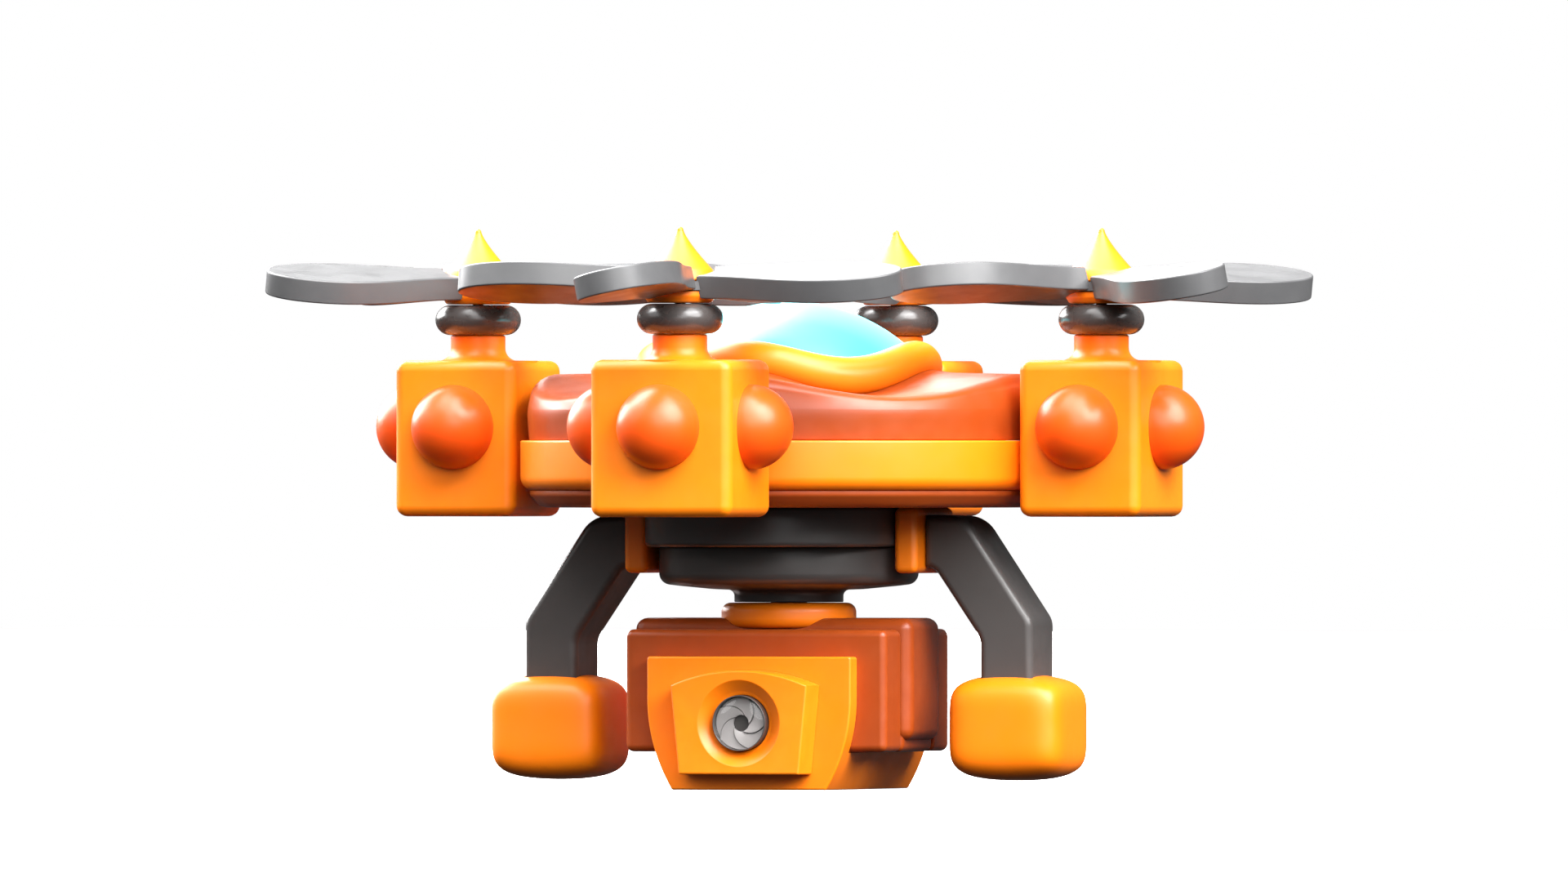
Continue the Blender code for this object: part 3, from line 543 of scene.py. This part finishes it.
def motor_shaft():
    """Shaft, bowl-shaped propeller seat and threaded stud."""
    low, high = local_box("motor_shaft_front")
    radius = high.x
    seat_low, seat_top = PROP_MIDDLE - 0.0056, PROP_MIDDLE - 0.0024
    return turned(
        rounded_path(
            [(0, low.z), (SHAFT_RADIUS, low.z), (SHAFT_RADIUS, seat_low)]
            + [(0.89 * radius, seat_low, 0.0012), (radius, seat_low + 0.0018, 0.0012)]
            + [(radius, seat_top, 0.0002), (STUD_RADIUS, seat_top)]
            + [(STUD_RADIUS, high.z, 0.0004), (0, high.z)]
        )
    )


def bearing_seal():
    """Round rubber ring around the pod's neck."""
    low, high = local_box("bearing_seal_front")
    minor = (high.z - low.z) / 2
    major, middle = high.x - minor, (low.z + high.z) / 2
    steps = 32
    angles = [2 * math.pi * i / steps for i in range(steps)]
    section = [(major + minor * math.cos(a), middle + minor * math.sin(a)) for a in angles]
    return turned(section, closed=True)


def bumper(side_x):
    """Half ball on the outer face, or on the side face toward the given x direction."""
    node = {0: "outer", 1: "side_a", -1: "side_b"}[side_x]
    low, high = local_box(f"bumper_front_{node}")
    middle = (low + high) / 2
    radius = (high.z - low.z) / 2
    steps = 20
    angles = [math.pi / 2 * i / steps for i in range(steps)]
    ball = [(radius * math.cos(a), radius * math.sin(a)) for a in angles]
    mesh = turned([(0, 0), *ball, (0, radius)], SMALL_SIDES)
    if side_x == 0:
        turn = Matrix.Rotation(math.pi / 2, 4, "X")
        return placed(mesh, Matrix.Translation((0, high.y, middle.z)) @ turn)
    foot = low.x if side_x > 0 else high.x
    turn = Matrix.Rotation(side_x * math.pi / 2, 4, "Y")
    return placed(mesh, Matrix.Translation((foot, 0, middle.z)) @ turn)


PROP_LOW, PROP_HIGH = local_box("propeller_front")
PROP_MIDDLE = (PROP_LOW.z + PROP_HIGH.z) / 2
BLADE_TIP = PROP_HIGH.x
SPINNER_LOW, SPINNER_HIGH = local_box("spinner_front")
HUB_RADIUS = SPINNER_HIGH.x


def half_chord(distance):
    """Half the blade's width at a distance from the hub's axis."""
    root = HUB_RADIUS * math.cos(math.radians(45))
    if distance < BLADE_WIDEST:
        swell = math.sin(math.pi / 2 * max((distance - root) / (BLADE_WIDEST - root), 0.0)) ** 2
        return ROOT_HALF_CHORD + (BLADE_HALF_CHORD - ROOT_HALF_CHORD) * swell
    share = (distance - BLADE_WIDEST) / (BLADE_TIP - BLADE_WIDEST)
    return BLADE_HALF_CHORD * math.sqrt(max(1 - share**2, 0.0))


def blade():
    """One flat leaf-shaped blade along +X, from its round root to its tip."""
    root_angles = [math.radians(43 - 86 * i / 12) for i in range(13)]
    root = [(HUB_RADIUS * math.cos(a), HUB_RADIUS * math.sin(a)) for a in root_angles]
    start = root[-1][0]
    spread = [start + (BLADE_WIDEST - start) * i / 16 for i in range(1, 17)]
    fan = [math.radians(90 - 90 * i / 16) for i in range(1, 16)]
    tip = [BLADE_WIDEST + (BLADE_TIP - BLADE_WIDEST) * math.cos(a) for a in fan]
    side = [(x, -half_chord(x)) for x in spread + tip]
    outline = root + side + [(BLADE_TIP, 0.0)] + [(x, -y) for x, y in reversed(side)]
    flat = slab(outline, -BLADE_THICKNESS / 2, BLADE_THICKNESS / 2, BLADE_EDGE, 3)
    flat.transform(Matrix.Rotation(math.pi / 2, 4, "X"))
    return flat


def propeller(sense, rest):
    """Four pitched blades joined by a thin web around the stud."""
    seat, top_seat = PROP_MIDDLE - 0.0021, PROP_MIDDLE + 0.0003
    clear = HUB_RADIUS + 0.00015
    rim = clear + 0.0004
    pitch = Matrix.Rotation(sense * BLADE_PITCH, 4, "X")
    pitched = placed(blade(), Matrix.Translation((0, 0, PROP_MIDDLE)) @ pitch)
    web_section = [(STUD_BORE, seat), (rim, seat), (rim, top_seat), (STUD_BORE, top_seat)]
    web = turned(web_section, closed=True)
    steps = []
    for i in range(BLADE_COUNT):
        steps.append(("UNION", placed(pitched, Matrix.Rotation(2 * math.pi * i / BLADE_COUNT, 4, "Z"))))
    steps.append(("DIFFERENCE", cylinder(clear, PROP_LOW.z - 0.01, seat)))
    steps.append(("DIFFERENCE", cylinder(clear, top_seat, SPINNER_HIGH.z)))
    return placed(combined(web, *steps), Matrix.Rotation(math.radians(rest), 4, "Z"))


def spinner():
    """Concave cone that ends in a small round tip, with a blind bore for the stud."""
    bottom, tip = SPINNER_LOW.z, SPINNER_HIGH.z
    rise = tip - bottom
    skirt = bottom + 0.2 * rise
    shoulder = 0.92 * HUB_RADIUS
    nose = 0.0009
    climb = 0.94 * rise - (skirt - bottom)
    shares = [i / 24 for i in range(25)]
    cone = [(nose + (shoulder - nose) * (1 - share) ** 1.25, skirt + climb * share) for share in shares]
    end = cone[-1][1]
    angles = [math.pi / 2 * i / 8 for i in range(1, 8)]
    cap = [(nose * math.cos(a), end + (tip - end) * math.sin(a)) for a in angles]
    skirt_path = [(HUB_RADIUS - 0.0004, bottom), (HUB_RADIUS, bottom + 0.0004, 0.0003), (shoulder, skirt)]
    bore_top = local_box("motor_shaft_front")[1].z + CLEAR
    bore = [(0, bore_top), (STUD_BORE, bore_top), (STUD_BORE, bottom)]
    return turned([*bore, *rounded_path(skirt_path), *cone[1:], *cap, (0, tip)])


def build_pods():
    """The nine pieces of each of the four pods."""
    shared = {
        "pod_housing": ("yellow", pod_housing(), True),
        "motor": ("metal", motor(), False),
        "bearing_seal": ("seal", bearing_seal(), False),
        "motor_shaft": ("yellow", motor_shaft(), False),
        "spinner": ("yellow", spinner(), False),
    }
    bumpers = {"outer": bumper(0), "side_a": bumper(1), "side_b": bumper(-1)}
    for side, place in pod_places().items():
        for kind, (finish, mesh, flat) in shared.items():
            show(f"{kind}_{side}_fine", mesh.copy(), finish, f"{kind}_{side}", place, flat)
        for end, mesh in bumpers.items():
            show(f"bumper_{side}_{end}_fine", mesh.copy(), "orange", f"bumper_{side}_{end}", place)
        name = f"propeller_{side}"
        prop = propeller(LIFT_SENSE[f"rotor_{side}"], REST_TURN[side])
        pin = PINS[f"rotor_{side}"]
        show(f"{name}_fine", prop, "grey", name, Matrix.Translation((pin.x, pin.y, 0)), True)


# Hull

WALL = 0.0020
RIM_TUBE = 0.0054
RIM_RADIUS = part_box("canopy_rim")[1].x - RIM_TUBE
RIM_WAVE = 0.00225
RIM_WAVES = 4
LOBE_BASE = 0.1040
LOBE_DROP = 0.62
DOME_SPHERE = 0.0494
DOME_WALL = 0.0015
DOME_EDGE = 0.0375  # radius at which the window ends, inside the rim tube
RIM_GROOVE = 0.00012  # how much wider the groove for the rim is than its tube


def canopy_rim(extra=0.0, around=192, across=28):
    """Ring tube that rises toward the four pods and dips between them."""
    low, high = box("canopy_rim")
    middle = (low.z + high.z) / 2
    tube = RIM_TUBE + extra
    angles = [2 * math.pi * i / across for i in range(across)]
    section = [(tube * math.cos(a), tube * math.sin(a)) for a in angles]

    def centre(turn):
        return RIM_RADIUS, middle + RIM_WAVE * math.cos(RIM_WAVES * turn)

    return swept_ring(centre, section, around)


def rim_groove():
    """The cutter that seats the canopy rim in the hull and ends the window."""
    return canopy_rim(RIM_GROOVE, 168, 20)


def lobed(mesh):
    """Lowers what stands above the base height midway between the pods, so that four lobes remain."""
    for vert in mesh.vertices:
        if vert.co.z > LOBE_BASE:
            turn = math.atan2(vert.co.y, vert.co.x)
            keep = 1 - LOBE_DROP * (1 - math.cos(RIM_WAVES * turn)) / 2
            vert.co.z = LOBE_BASE + (vert.co.z - LOBE_BASE) * keep
    return mesh


def hull_upper_shell():
    """Four-lobed cover with a faintly bulged wall, a round shoulder and a groove for the canopy rim."""
    low, high = box("hull_upper_shell")
    radius, crown = high.x, high.z
    ceiling = crown - 0.012
    path = rounded_path(
        [(0, ceiling), (0.67 * radius, ceiling, 0.004), (radius - WALL, ceiling + 0.002, 0.002)]
        + [(radius - WALL, low.z), (radius - 0.0009, low.z), (radius - 0.0005, low.z + 0.0004)]
        + [(radius, low.z + 0.0070, 0.05)]
        + [(radius - 0.0003, crown - 0.0100, 0.03), (radius - 0.0018, crown - 0.0022, 0.0048)]
        + [(0.65 * radius, crown - 0.0018, 0.03), (0.50 * radius, crown, 0.02), (0, crown)]
    )
    return combined(lobed(turned(path, HULL_SIDES)), ("DIFFERENCE", rim_groove()))


def main_frame():
    """Belt ring with a crisp top edge and a round lower corner, and two crossed spars."""
    low, high = box("main_frame")
    radius, reach = BELT_RADIUS, high.x
    inner = radius - 0.0078
    section = rounded_path(
        [(inner, low.z), (radius, low.z, 0.0045), (radius, high.z, 0.0006), (inner, high.z)], closed=True
    )
    half = SPAR_WIDTH / 2
    spar_x = sharp_block((-reach, -half, SPAR_BOTTOM), (reach, half, SPAR_TOP))
    spar_y = placed(spar_x, Matrix.Rotation(math.pi / 2, 4, "Z"))
    return combined(turned(section, HULL_SIDES, closed=True), ("UNION", spar_x), ("UNION", spar_y))


def hull_lower_shell():
    """Shallow tray under the belt with a rounded lower corner."""
    low, high = box("hull_lower_shell")
    radius = high.x
    path = rounded_path(
        [(0, low.z), (radius - 0.003, low.z, 0.0045), (radius, low.z + 0.0034, 0.002), (radius, high.z)]
        + [(radius - 2 * WALL, high.z), (radius - 3 * WALL, low.z + WALL), (0, low.z + WALL)]
    )
    return turned(path, HULL_SIDES)


def canopy_dome():
    """Thin spherical window cut to sit on the wavy rim."""
    top = box("canopy_dome")[1].z
    centre = top - DOME_SPHERE
    inner = DOME_SPHERE - DOME_WALL
    edge = math.acos(DOME_EDGE / DOME_SPHERE)
    rise = [edge + (math.pi / 2 - edge) * i / 32 for i in range(33)]
    outer = [(DOME_SPHERE * math.cos(a), centre + DOME_SPHERE * math.sin(a)) for a in rise[:-1]]
    under = [(inner * math.cos(a), centre + inner * math.sin(a)) for a in reversed(rise[:-1])]
    path = [(0, centre + inner), *under, *outer, (0, top)]
    return combined(turned(path, HULL_SIDES), ("DIFFERENCE", rim_groove()))


def battery_pack():
    """Pack of three wrapped cells, parted by shallow seams on top."""
    low, high = box("battery_pack")
    seam, over = 0.0004, 1.0
    steps = []
    for share in (1 / 3, 2 / 3):
        y = low.y + share * (high.y - low.y)
        cut = sharp_block((low.x - over, y - seam, high.z - seam), (high.x + over, y + seam, high.z + over))
        steps.append(("DIFFERENCE", cut))
    return combined(soft_block(low, high, 0.002, 4), *steps)


def flight_controller():
    """Board with a processor, four power stages and two connectors."""
    low, high = box("flight_controller")
    face = low.z + 0.0012
    board = soft_block(low, (high.x, high.y, face), 0.0004, 2)
    far = 0.0110
    chips = [(0, 0, 0.0045)]  # x, y and half the width of each chip
    chips += [(x, y, 0.0022) for x in (-far, far) for y in (-far, far)]
    chips += [(0, 0.0145, 0.0018), (0.0145, 0, 0.0018)]
    steps = []
    for x, y, half in chips:
        chip = soft_block((x - half, y - half, low.z + 0.0006), (x + half, y + half, high.z), 0.0002, 2)
        steps.append(("UNION", chip))
    return combined(board, *steps)


def build_hull():
    pieces = {
        "hull_upper_shell": ("terracotta", hull_upper_shell()),
        "main_frame": ("yellow", main_frame()),
        "hull_lower_shell": ("brown", hull_lower_shell()),
        "canopy_rim": ("yellow", canopy_rim()),
        "canopy_dome": ("window", canopy_dome()),
        "battery_pack": ("wrap", battery_pack()),
        "flight_controller": ("board", flight_controller()),
    }
    for node, (finish, mesh) in pieces.items():
        show(f"{node}_fine", mesh, finish, node)


# Gimbal mount and landing gear

FOOT_ROUNDNESS = 5.5
FOOT_CROWN = 0.20
LEG_EDGE = 0.0022
LEG_DEPTH = 0.0200
LEG_WIDTH = 0.0152
GIMBAL_FLOOR = 0.0557
GIMBAL_KEEL = 0.0547
GIMBAL_NECK = 0.0150
SPINDLE_BORE = 0.0053
SPINDLE_BORE_TOP = 0.0623


def gimbal_mount_plate():
    """Disc between the hull and the gimbal housing."""
    low, high = box("gimbal_mount_plate")
    radius = (high.x - low.x) / 2
    path = rounded_path([(0, low.z), (radius, low.z, 0.0014), (radius, high.z, 0.0008), (0, high.z)])
    return placed(turned(path, 128), Matrix.Translation((0, (low.y + high.y) / 2, 0)))


def gimbal_housing():
    """Round housing whose bowl-shaped floor runs into a waisted neck."""
    low, high = box("gimbal_housing")
    radius = high.x
    path = rounded_path(
        [(0, SPINDLE_BORE_TOP), (SPINDLE_BORE, SPINDLE_BORE_TOP), (SPINDLE_BORE, low.z)]
        + [(GIMBAL_NECK, low.z, 0.0003), (GIMBAL_NECK, GIMBAL_KEEL, 0.0020)]
        + [(0.58 * radius, GIMBAL_KEEL + 0.0002, 0.03), (0.84 * radius, GIMBAL_FLOOR + 0.0001, 0.003)]
        + [(radius, GIMBAL_FLOOR + 0.0008, 0.0048), (radius, high.z, 0.0006), (0, high.z)]
    )
    return turned(path, 128)


def leg_bracket():
    """Clamp block on the left between the hull and the leg."""
    return soft_block(*box("leg_bracket_left"), 0.0018)


def leg():
    """Left-hand leg: out from the bracket, down a slope and straight into the foot."""
    low, high = box("leg_left")
    start, outer, inner = low.x, high.x, high.x - LEG_WIDTH
    outline = rounded_path(
        [(start, high.z), (0.0544, high.z - 0.0003, 0.009), (outer, 0.0465, 0.006), (outer, low.z)]
        + [(inner, low.z), (inner, 0.0414, 0.006), (0.0455, 0.0603, 0.008), (start, 0.0612)],
        closed=True,
    )
    return slab(outline, -LEG_DEPTH / 2, LEG_DEPTH / 2, LEG_EDGE)


def foot():
    """Soft square pad with crowned faces and a socket for the leg."""
    low, high = box("foot_left")
    half = (high - low) / 2
    bm = bmesh.new()
    bmesh.ops.create_cube(bm, size=2.0)
    bmesh.ops.subdivide_edges(bm, edges=bm.edges, cuts=31, use_grid_fill=True)
    for vert in bm.verts:
        size = sum(abs(c) ** FOOT_ROUNDNESS for c in vert.co) ** (1 / FOOT_ROUNDNESS)
        place = vert.co / size
        place.z *= 1 - FOOT_CROWN * place.xy.length_squared / 2
        vert.co = place * half
    bmesh.ops.translate(bm, vec=(low + high) / 2, verts=bm.verts)
    leg_low, leg_high = box("leg_left")
    fit = 0.0001
    half_leg = LEG_DEPTH / 2 + fit
    socket = sharp_block(
        (leg_high.x - LEG_WIDTH - fit, -half_leg, leg_low.z - CLEAR),
        (leg_high.x + fit, half_leg, high.z + POD_EDGE),
    )
    return combined(finished(bm), ("DIFFERENCE", socket))


def build_landing_gear():
    """The gimbal's two fixed pieces, and on each side a bracket, a leg and a foot."""
    show("gimbal_mount_plate_fine", gimbal_mount_plate(), "dark", "gimbal_mount_plate")
    show("gimbal_housing_fine", gimbal_housing(), "dark", "gimbal_housing")
    parts = (("leg_bracket", "yellow", leg_bracket()), ("leg", "dark", leg()), ("foot", "yellow", foot()))
    for side, turn in (("left", 0.0), ("right", math.pi)):
        for kind, finish, mesh in parts:
            name = f"{kind}_{side}"
            show(f"{name}_fine", mesh.copy(), finish, name, Matrix.Rotation(turn, 4, "Z"), kind != "foot")


# Camera

CASE_EDGE = 0.0020
BAND_EDGE = 0.0032
FLANK_TOP = 0.0250
FLANK_RADIUS = 0.0470
BAND_RISE = 0.0031
ARCH_SIDE_TOP = 0.0287
PLATE_DRAFT = 0.0010
FUNNEL_RADIUS = 0.0119
LIP_RADIUS = 0.0088
LIP_FRONT = -0.0399
IRIS_BLADES = 5
IRIS_OPENING = 0.0023
IRIS_SEAM = 0.00042
IRIS_TURN = math.radians(72)
IRIS_ALONG = 14
IRIS_ACROSS = 8
GLASS_EDGE = 0.0004
SPINDLE_RADIUS = 0.0050


def camera_collar(grow=0.0):
    """Rounded collar and spindle, or the same shape grown to cut its seat."""
    low, high = box("camera_collar")
    low.z -= grow
    radius = high.x + grow
    top = PINS["camera"].z + grow
    path = rounded_path(
        [(0, low.z), (radius, low.z, 0.0028), (radius, top, 0.0026), (SPINDLE_RADIUS, top)]
        + [(SPINDLE_RADIUS, high.z, 0.0005), (0, high.z)]
    )
    return turned(path)


def camera_housing():
    """Middle of the case with a wider band over its top and sides, and a round pocket for the collar."""
    low, high = box("camera_housing")
    shell_low, shell_high = box("camera_front_bezel")
    core = soft_block((shell_low.x, low.y, shell_low.z), (shell_high.x, high.y, shell_high.z), CASE_EDGE)
    band = soft_block((low.x, low.y, shell_low.z + BAND_RISE), high, BAND_EDGE)
    return combined(core, ("UNION", band), ("DIFFERENCE", camera_collar(0.0001)))


def camera_cradle():
    """U-shaped cradle: a front plate and a rear plate joined by a keel, with inward-curved flanks."""
    low, high = box("camera_cradle")
    sweep = math.asin(FLANK_TOP / FLANK_RADIUS)
    centre = high.x - FLANK_RADIUS
    angles = [-sweep * (1 - i / 14) for i in range(15)]
    flank = [(centre + FLANK_RADIUS * math.cos(a), FLANK_TOP + FLANK_RADIUS * math.sin(a)) for a in angles]
    right = [(flank[0][0], 0.0, 0.0008), *flank[1:], (high.x, high.z, 0.0008)]
    outline = rounded_path(right + [(-x, z, *r) for x, z, *r in reversed(right)], closed=True)
    body = slab(outline, low.y, high.y, 0.0006, 3)
    case_low, case_high = box("camera_front_bezel")[0], box("camera_back_cover")[1]
    gap, over = CLEAR / 2, 0.1
    seat = sharp_block((-over, case_low.y - gap, case_low.z - gap), (over, case_high.y + gap, over))
    return combined(body, ("DIFFERENCE", seat))


def lens_place(back):
    """Carries a piece turned about Z to the lens axis, with its foot at the given y."""
    low, high = box("lens_barrel")
    return Matrix.Translation((0, back, (low.z + high.z) / 2)) @ Matrix.Rotation(math.pi / 2, 4, "X")


def camera_faceplate():
    """Raised plate with an arched top and a funnel that ends in a small lip around the lens."""
    low, high = box("camera_faceplate")
    wide = high.x - PLATE_DRAFT
    foot = wide - 0.0024
    rise = high.z - ARCH_SIDE_TOP
    radius = (wide**2 + rise**2) / (2 * rise)
    spread = math.asin(wide / radius)
    angles = [math.pi / 2 - spread + 2 * spread * i / 24 for i in range(25)]
    arch = [(radius * math.cos(a), high.z - radius + radius * math.sin(a)) for a in angles]
    outline = rounded_path([(-foot, low.z, 0.0006), (foot, low.z, 0.0006)] + arch, closed=True)
    body = slab(outline, high.y, low.y, 0.0006, 3)
    depth, lip = high.y - low.y, high.y - LIP_FRONT
    for vert in body.vertices:
        vert.co.x += math.copysign(PLATE_DRAFT * (vert.co.y - low.y) / depth, vert.co.x)
    bore = box("lens_barrel")[1].x + 0.0001
    path = rounded_path(
        [(0, -0.001), (bore, -0.001), (bore, lip - 0.0006, 0.0005), (LIP_RADIUS, lip, 0.0004)]
        + [(FUNNEL_RADIUS, depth, 0.0012), (FUNNEL_RADIUS + 0.003, depth + 0.0003)]
        + [(FUNNEL_RADIUS + 0.003, depth + 0.002), (0, depth + 0.002)]
    )
    return combined(body, ("DIFFERENCE", placed(turned(path), lens_place(high.y))))


def lens_barrel():
    """Cup that holds the iris and the glass, with a soft front lip."""
    low, high = box("lens_barrel")
    radius, depth = high.x, high.y - low.y
    seat = box("lens_glass")[1].x + CLEAR / 2
    floor = high.y - box("lens_iris")[1].y - CLEAR
    path = rounded_path(
        [(0, 0), (radius, 0, 0.0003), (radius, depth, 0.0005), (seat, depth, 0.0002)]
        + [(seat, floor), (0, floor)]
    )
    return placed(turned(path), lens_place(high.y))


def spiral(start_turn, inner, outer):
    """Points of one curved blade edge that swings round while it runs from the opening to the rim."""
    points = []
    for i in range(IRIS_ALONG + 1):
        share = i / IRIS_ALONG
        radius = inner + (outer - inner) * share
        angle = start_turn + IRIS_TURN * share**0.8
        points.append(Vector((radius * math.cos(angle), radius * math.sin(angle))))
    return points


def iris_blade_top(first, second, depth):
    """Rows of points between a blade's two edges. The blade thins to half toward the second."""
    rows = []
    for start_point, end_point in zip(first, second):
        start = math.atan2(start_point.y, start_point.x)
        end = math.atan2(end_point.y, end_point.x)
        sweep = (end - start) % (2 * math.pi)
        arm = start_point.length
        row = []
        for i in range(IRIS_ACROSS + 1):
            share = i / IRIS_ACROSS
            angle = start + sweep * share
            row.append((arm * math.cos(angle), arm * math.sin(angle), depth * (1 - 0.5 * share)))
        rows.append(row)
    return rows


def closed_sheet(bm, rows):
    """A solid between a grid of points and the plane z = 0."""
    above = [[bm.verts.new(point) for point in row] for row in rows]
    under = [[bm.verts.new((x, y, 0)) for x, y, _ in row] for row in rows]
    last_row, last = len(rows) - 1, len(rows[0]) - 1
    for r in range(last_row):
        for c in range(last):
            bm.faces.new((above[r][c], above[r][c + 1], above[r + 1][c + 1], above[r + 1][c]))
            bm.faces.new((under[r][c], under[r + 1][c], under[r + 1][c + 1], under[r][c + 1]))
    border = [(0, c) for c in range(last)] + [(r, last) for r in range(last_row)]
    border += [(last_row, c) for c in range(last, 0, -1)] + [(r, 0) for r in range(last_row, 0, -1)]
    for (a, b), (c, d) in zip(border, border[1:] + border[:1]):
        bm.faces.new((above[a][b], under[a][b], under[c][d], above[c][d]))


def lens_iris():
    """Pinwheel of curved blades, parted by fine seams, around a small five-sided opening."""
    low, high = box("lens_iris")
    radius, depth = high.x, high.y - low.y
    bm = bmesh.new()
    corner_turn = 2 * math.pi / IRIS_BLADES
    for i in range(IRIS_BLADES):
        first = spiral(i * corner_turn, IRIS_OPENING, radius)
        second = spiral((i + 1) * corner_turn, IRIS_OPENING, radius)
        parted = [Matrix.Rotation(-IRIS_SEAM / point.length, 2) @ point for point in second]
        closed_sheet(bm, iris_blade_top(first, parted, depth))
    return placed(finished(bm), lens_place(high.y))


def lens_glass():
    """Plano-convex glass with a thin straight edge."""
    low, high = box("lens_glass")
    radius, depth = high.x, high.y - low.y
    bulge = depth - GLASS_EDGE
    sphere = (radius**2 + bulge**2) / (2 * bulge)
    spread = math.asin(radius / sphere)
    angles = [spread * (1 - i / 20) for i in range(20)]
    front = [(sphere * math.sin(a), depth - sphere + sphere * math.cos(a)) for a in angles]
    return placed(turned([(0, 0), (radius, 0), *front, (0, depth)]), lens_place(high.y))


def build_camera():
    """The nine pieces that pan together."""
    case = {
        "camera_front_bezel": ("terracotta", soft_block(*box("camera_front_bezel"), CASE_EDGE)),
        "camera_back_cover": ("terracotta", soft_block(*box("camera_back_cover"), CASE_EDGE)),
        "camera_housing": ("terracotta", camera_housing()),
        "camera_cradle": ("yellow", camera_cradle()),
        "camera_faceplate": ("yellow", camera_faceplate()),
    }
    for node, (finish, mesh) in case.items():
        show(f"{node}_fine", mesh, finish, node, flat_faces=True)
    show("camera_collar_fine", camera_collar(), "yellow", "camera_collar")
    show("lens_barrel_fine", lens_barrel(), "dark", "lens_barrel")
    show("lens_iris_fine", lens_iris(), "blade_metal", "lens_iris", flat_faces=True)
    show("lens_glass_fine", lens_glass(), "glass", "lens_glass")


# Stage, light and camera


def build_floor():
    """White sweep that takes no part in the light on the object."""
    mesh = bpy.data.meshes.new("floor")
    half = 8.0
    corners = [(-half, -half, 0), (half, -half, 0), (half, half, 0), (-half, half, 0)]
    mesh.from_pydata(corners, [], [(0, 1, 2, 3)])
    floor = bpy.data.objects.new("floor", mesh)
    bpy.context.scene.collection.objects.link(floor)
    nodes = Nodes("pale_floor")
    nodes.set(Base_Color=(0.9, 0.9, 0.9, 1.0), Roughness=0.8)
    nodes.set(Emission_Color=(1, 1, 1, 1), Emission_Strength=0.85)
    mesh.materials.append(nodes.material)
    floor.visible_diffuse = False
    floor.visible_glossy = False


def build_world():
    """White backdrop for the camera, and a dimmer room that is darkest underneath."""
    world = bpy.data.worlds.new("studio")
    bpy.context.scene.world = world
    world.use_nodes = True
    tree = world.node_tree
    tree.nodes.clear()
    place = tree.nodes.new("ShaderNodeTexCoord")
    axes = tree.nodes.new("ShaderNodeSeparateXYZ")
    height = tree.nodes.new("ShaderNodeMapRange")
    limits = {"From Min": -0.6, "From Max": 0.3, "To Min": ROOM_BELOW, "To Max": ROOM_LIGHT}
    for key, value in limits.items():
        height.inputs[key].default_value = value
    room = tree.nodes.new("ShaderNodeBackground")
    backdrop = tree.nodes.new("ShaderNodeBackground")
    backdrop.inputs["Color"].default_value = (1, 1, 1, 1)
    rays = tree.nodes.new("ShaderNodeLightPath")
    mix = tree.nodes.new("ShaderNodeMixShader")
    output = tree.nodes.new("ShaderNodeOutputWorld")
    tree.links.new(place.outputs["Generated"], axes.inputs["Vector"])
    tree.links.new(axes.outputs["Z"], height.inputs["Value"])
    tree.links.new(height.outputs["Result"], room.inputs["Strength"])
    tree.links.new(rays.outputs["Is Camera Ray"], mix.inputs["Fac"])
    tree.links.new(room.outputs["Background"], mix.inputs[1])
    tree.links.new(backdrop.outputs["Background"], mix.inputs[2])
    tree.links.new(mix.outputs["Shader"], output.inputs["Surface"])


def add_sun(name, bearing, elevation, strength, spread):
    """Soft parallel light from a bearing and an elevation in degrees."""
    light = bpy.data.lights.new(name, "SUN")
    light.energy = strength
    light.angle = math.radians(spread)
    lamp = bpy.data.objects.new(name, light)
    bearing, elevation = math.radians(bearing), math.radians(elevation)
    reach = math.cos(elevation)
    toward = Vector((reach * math.sin(bearing), -reach * math.cos(bearing), math.sin(elevation)))
    lamp.rotation_euler = toward.to_track_quat("Z", "Y").to_euler()
    bpy.context.scene.collection.objects.link(lamp)


def build_view():
    """Long-lens camera at the height of the hull, turned a little to the left of the nose."""
    lens = bpy.data.cameras.new("view")
    lens.lens = LENS
    lens.sensor_width = SENSOR
    lens.clip_end = 100.0
    distance = LENS * FRAME_WIDTH / SENSOR
    right = Vector((math.cos(AZIMUTH), math.sin(AZIMUTH), 0))
    aim = FRAME_CENTRE_RIGHT * right + Vector((0, 0, FRAME_CENTRE_HEIGHT))
    view = bpy.data.objects.new("view", lens)
    view.location = aim + distance * Vector((math.sin(AZIMUTH), -math.cos(AZIMUTH), 0))
    view.rotation_euler = (math.pi / 2, 0, AZIMUTH)
    bpy.context.scene.collection.objects.link(view)
    bpy.context.scene.camera = view
    bpy.context.scene.view_settings.view_transform = "Standard"


build_pods()
build_hull()
build_landing_gear()
build_camera()
build_floor()
build_world()
for settings in LIGHTS:
    add_sun(*settings)
build_view()
